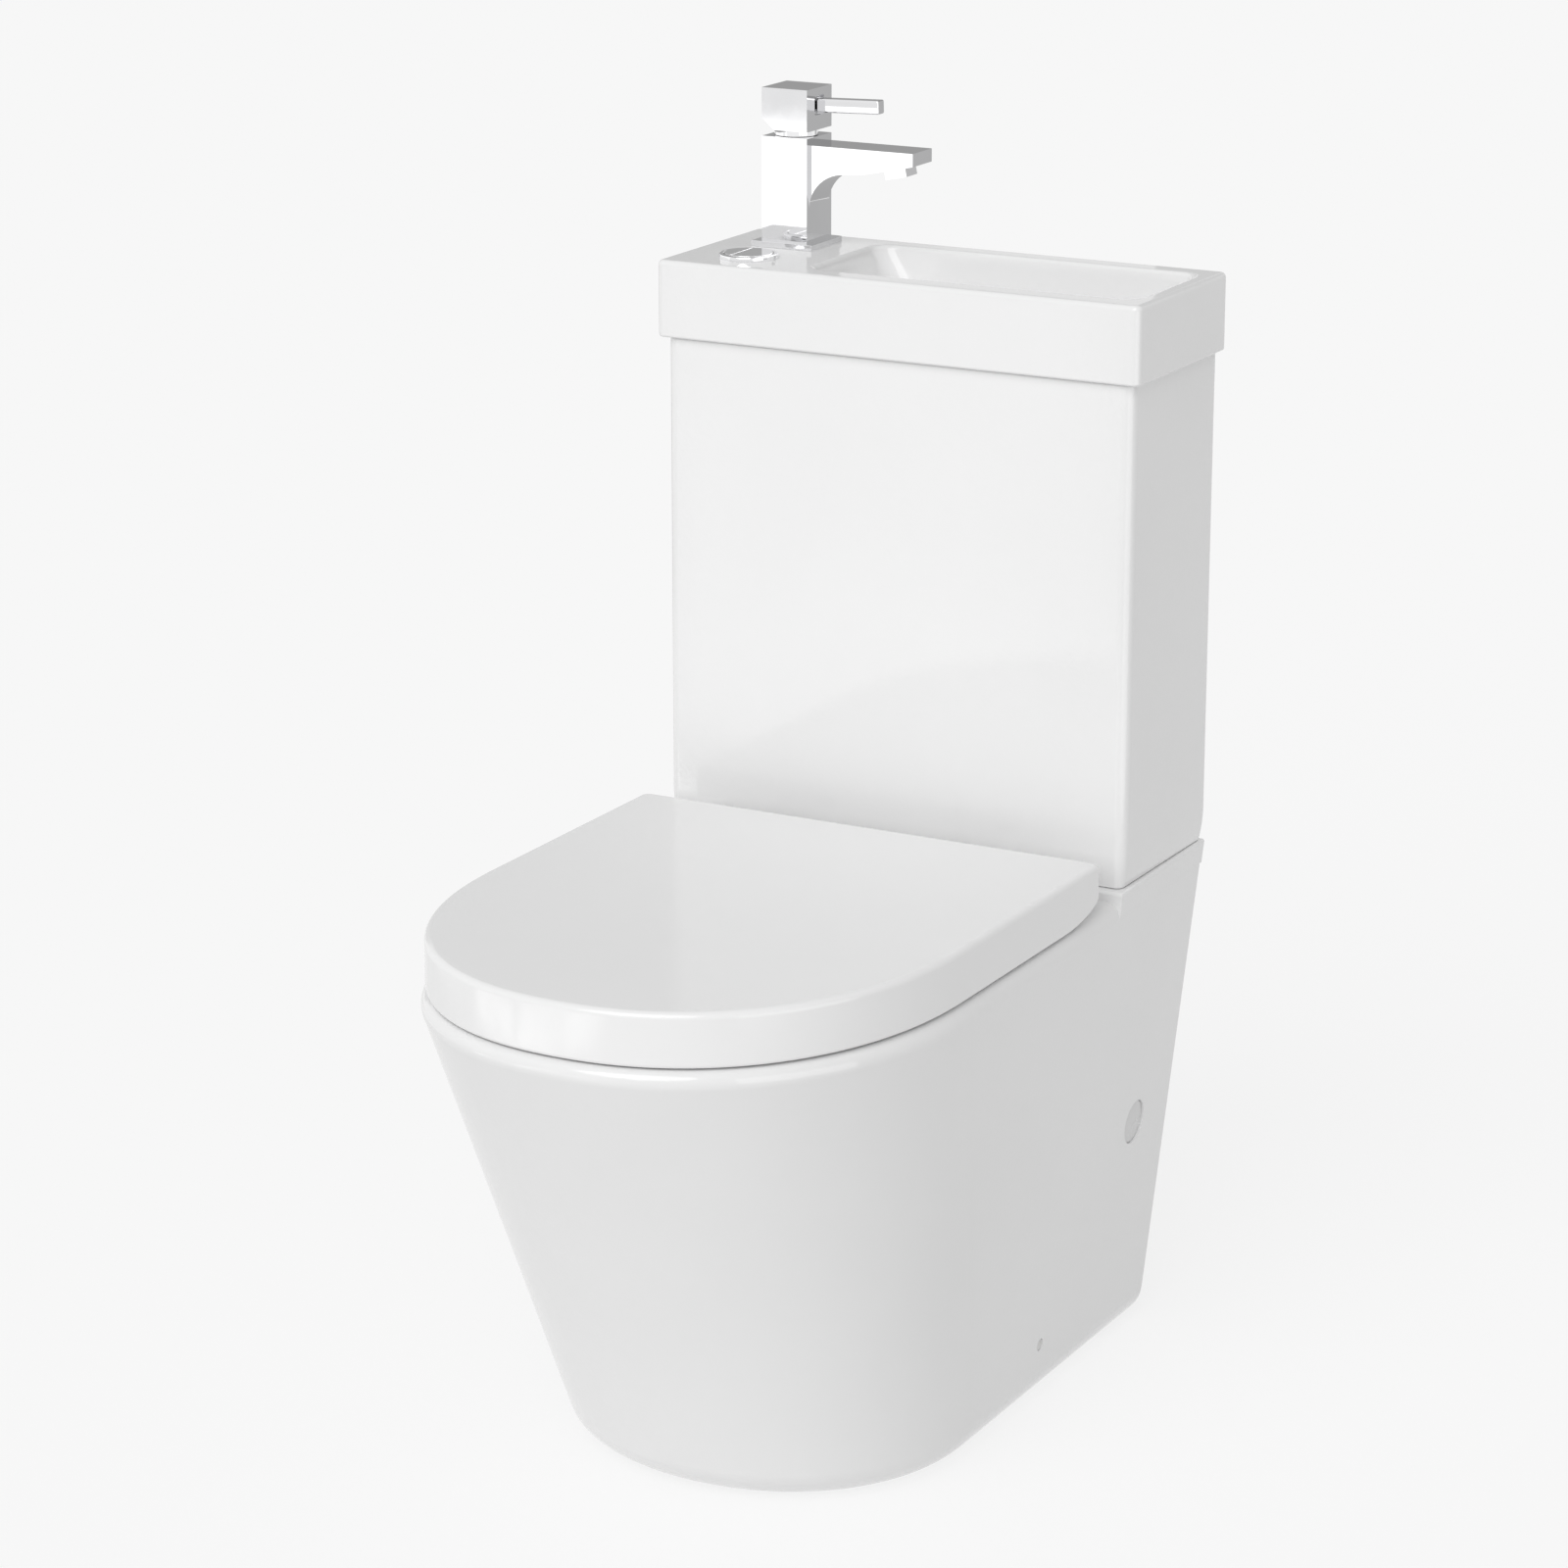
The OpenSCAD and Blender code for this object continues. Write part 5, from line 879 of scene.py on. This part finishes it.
copper = material("copper_tube", (0.72, 0.40, 0.27), (0.56, 0.29, 0.19), (0.2, 0.4), metallic=1.0, cloud=50)
rubber = material("black_rubber", (0.045, 0.045, 0.045), (0.07, 0.07, 0.07), (0.6, 0.8), cloud=80,
                  relief=1800, bump=0.3)
silicone = material("red_silicone", (0.50, 0.07, 0.05), (0.42, 0.05, 0.04), (0.45, 0.6), cloud=60,
                    relief=1500)
pale_rubber = material("pale_rubber", (0.72, 0.72, 0.72), (0.66, 0.66, 0.66), (0.5, 0.65), cloud=80,
                       relief=1500)
white_plastic = material("white_moulding", (0.78, 0.78, 0.77), (0.74, 0.74, 0.73), (0.35, 0.5), cloud=40,
                         relief=1600)
blue_plastic = material("blue_moulding", (0.08, 0.22, 0.55), (0.06, 0.18, 0.47), (0.35, 0.5), cloud=40,
                        relief=1600)
grey_plastic = material("grey_moulding", (0.40, 0.41, 0.43), (0.34, 0.35, 0.37), (0.4, 0.55), cloud=40,
                        relief=1600)
by_slot = {
    "glazed_ceramic": china, "seat_plastic": thermoset, "buffer_rubber": pale_rubber, "chrome": chrome,
    "steel": steel, "black_rubber": rubber, "white_plastic": white_plastic, "blue_plastic": blue_plastic,
    "grey_plastic": grey_plastic, "red_rubber": silicone, "brass": brass, "copper": copper}
replaced = {n for o in bpy.data.objects for n in o.get("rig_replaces", [])}
# The edge rounding in mm of the pieces that show. The others keep their CAD solid as it is.
bevels = {"tap_plate": 0.5, "tap_body": 0.6, "tap_head": 0.6, "tap_neck": 0.4, "tap_lever": 1.0,
          "tap_aerator": 0.5, "button_bezel": 0.0, "full_button": 0.35, "half_button": 0.35,
          "waste_flange": 0.3, "waste_grid": 0.3, "waste_screw": 0.3, "hinge_posts": 0.6}
for row in frame["record"]["subparts"]:
    node, mat = row["node"], by_slot[row["material_slot"]]
    # The neck and the nozzle take the lighter chrome, a painted highlight
    if node in ("tap_neck", "tap_aerator"):
        mat = painted_highlight_chrome
    if node in bevels:
        dressed(node, mat, bevels[node])
    elif node not in replaced:
        frame["nodes"][node].data.materials.clear()
        frame["nodes"][node].data.materials.append(mat)
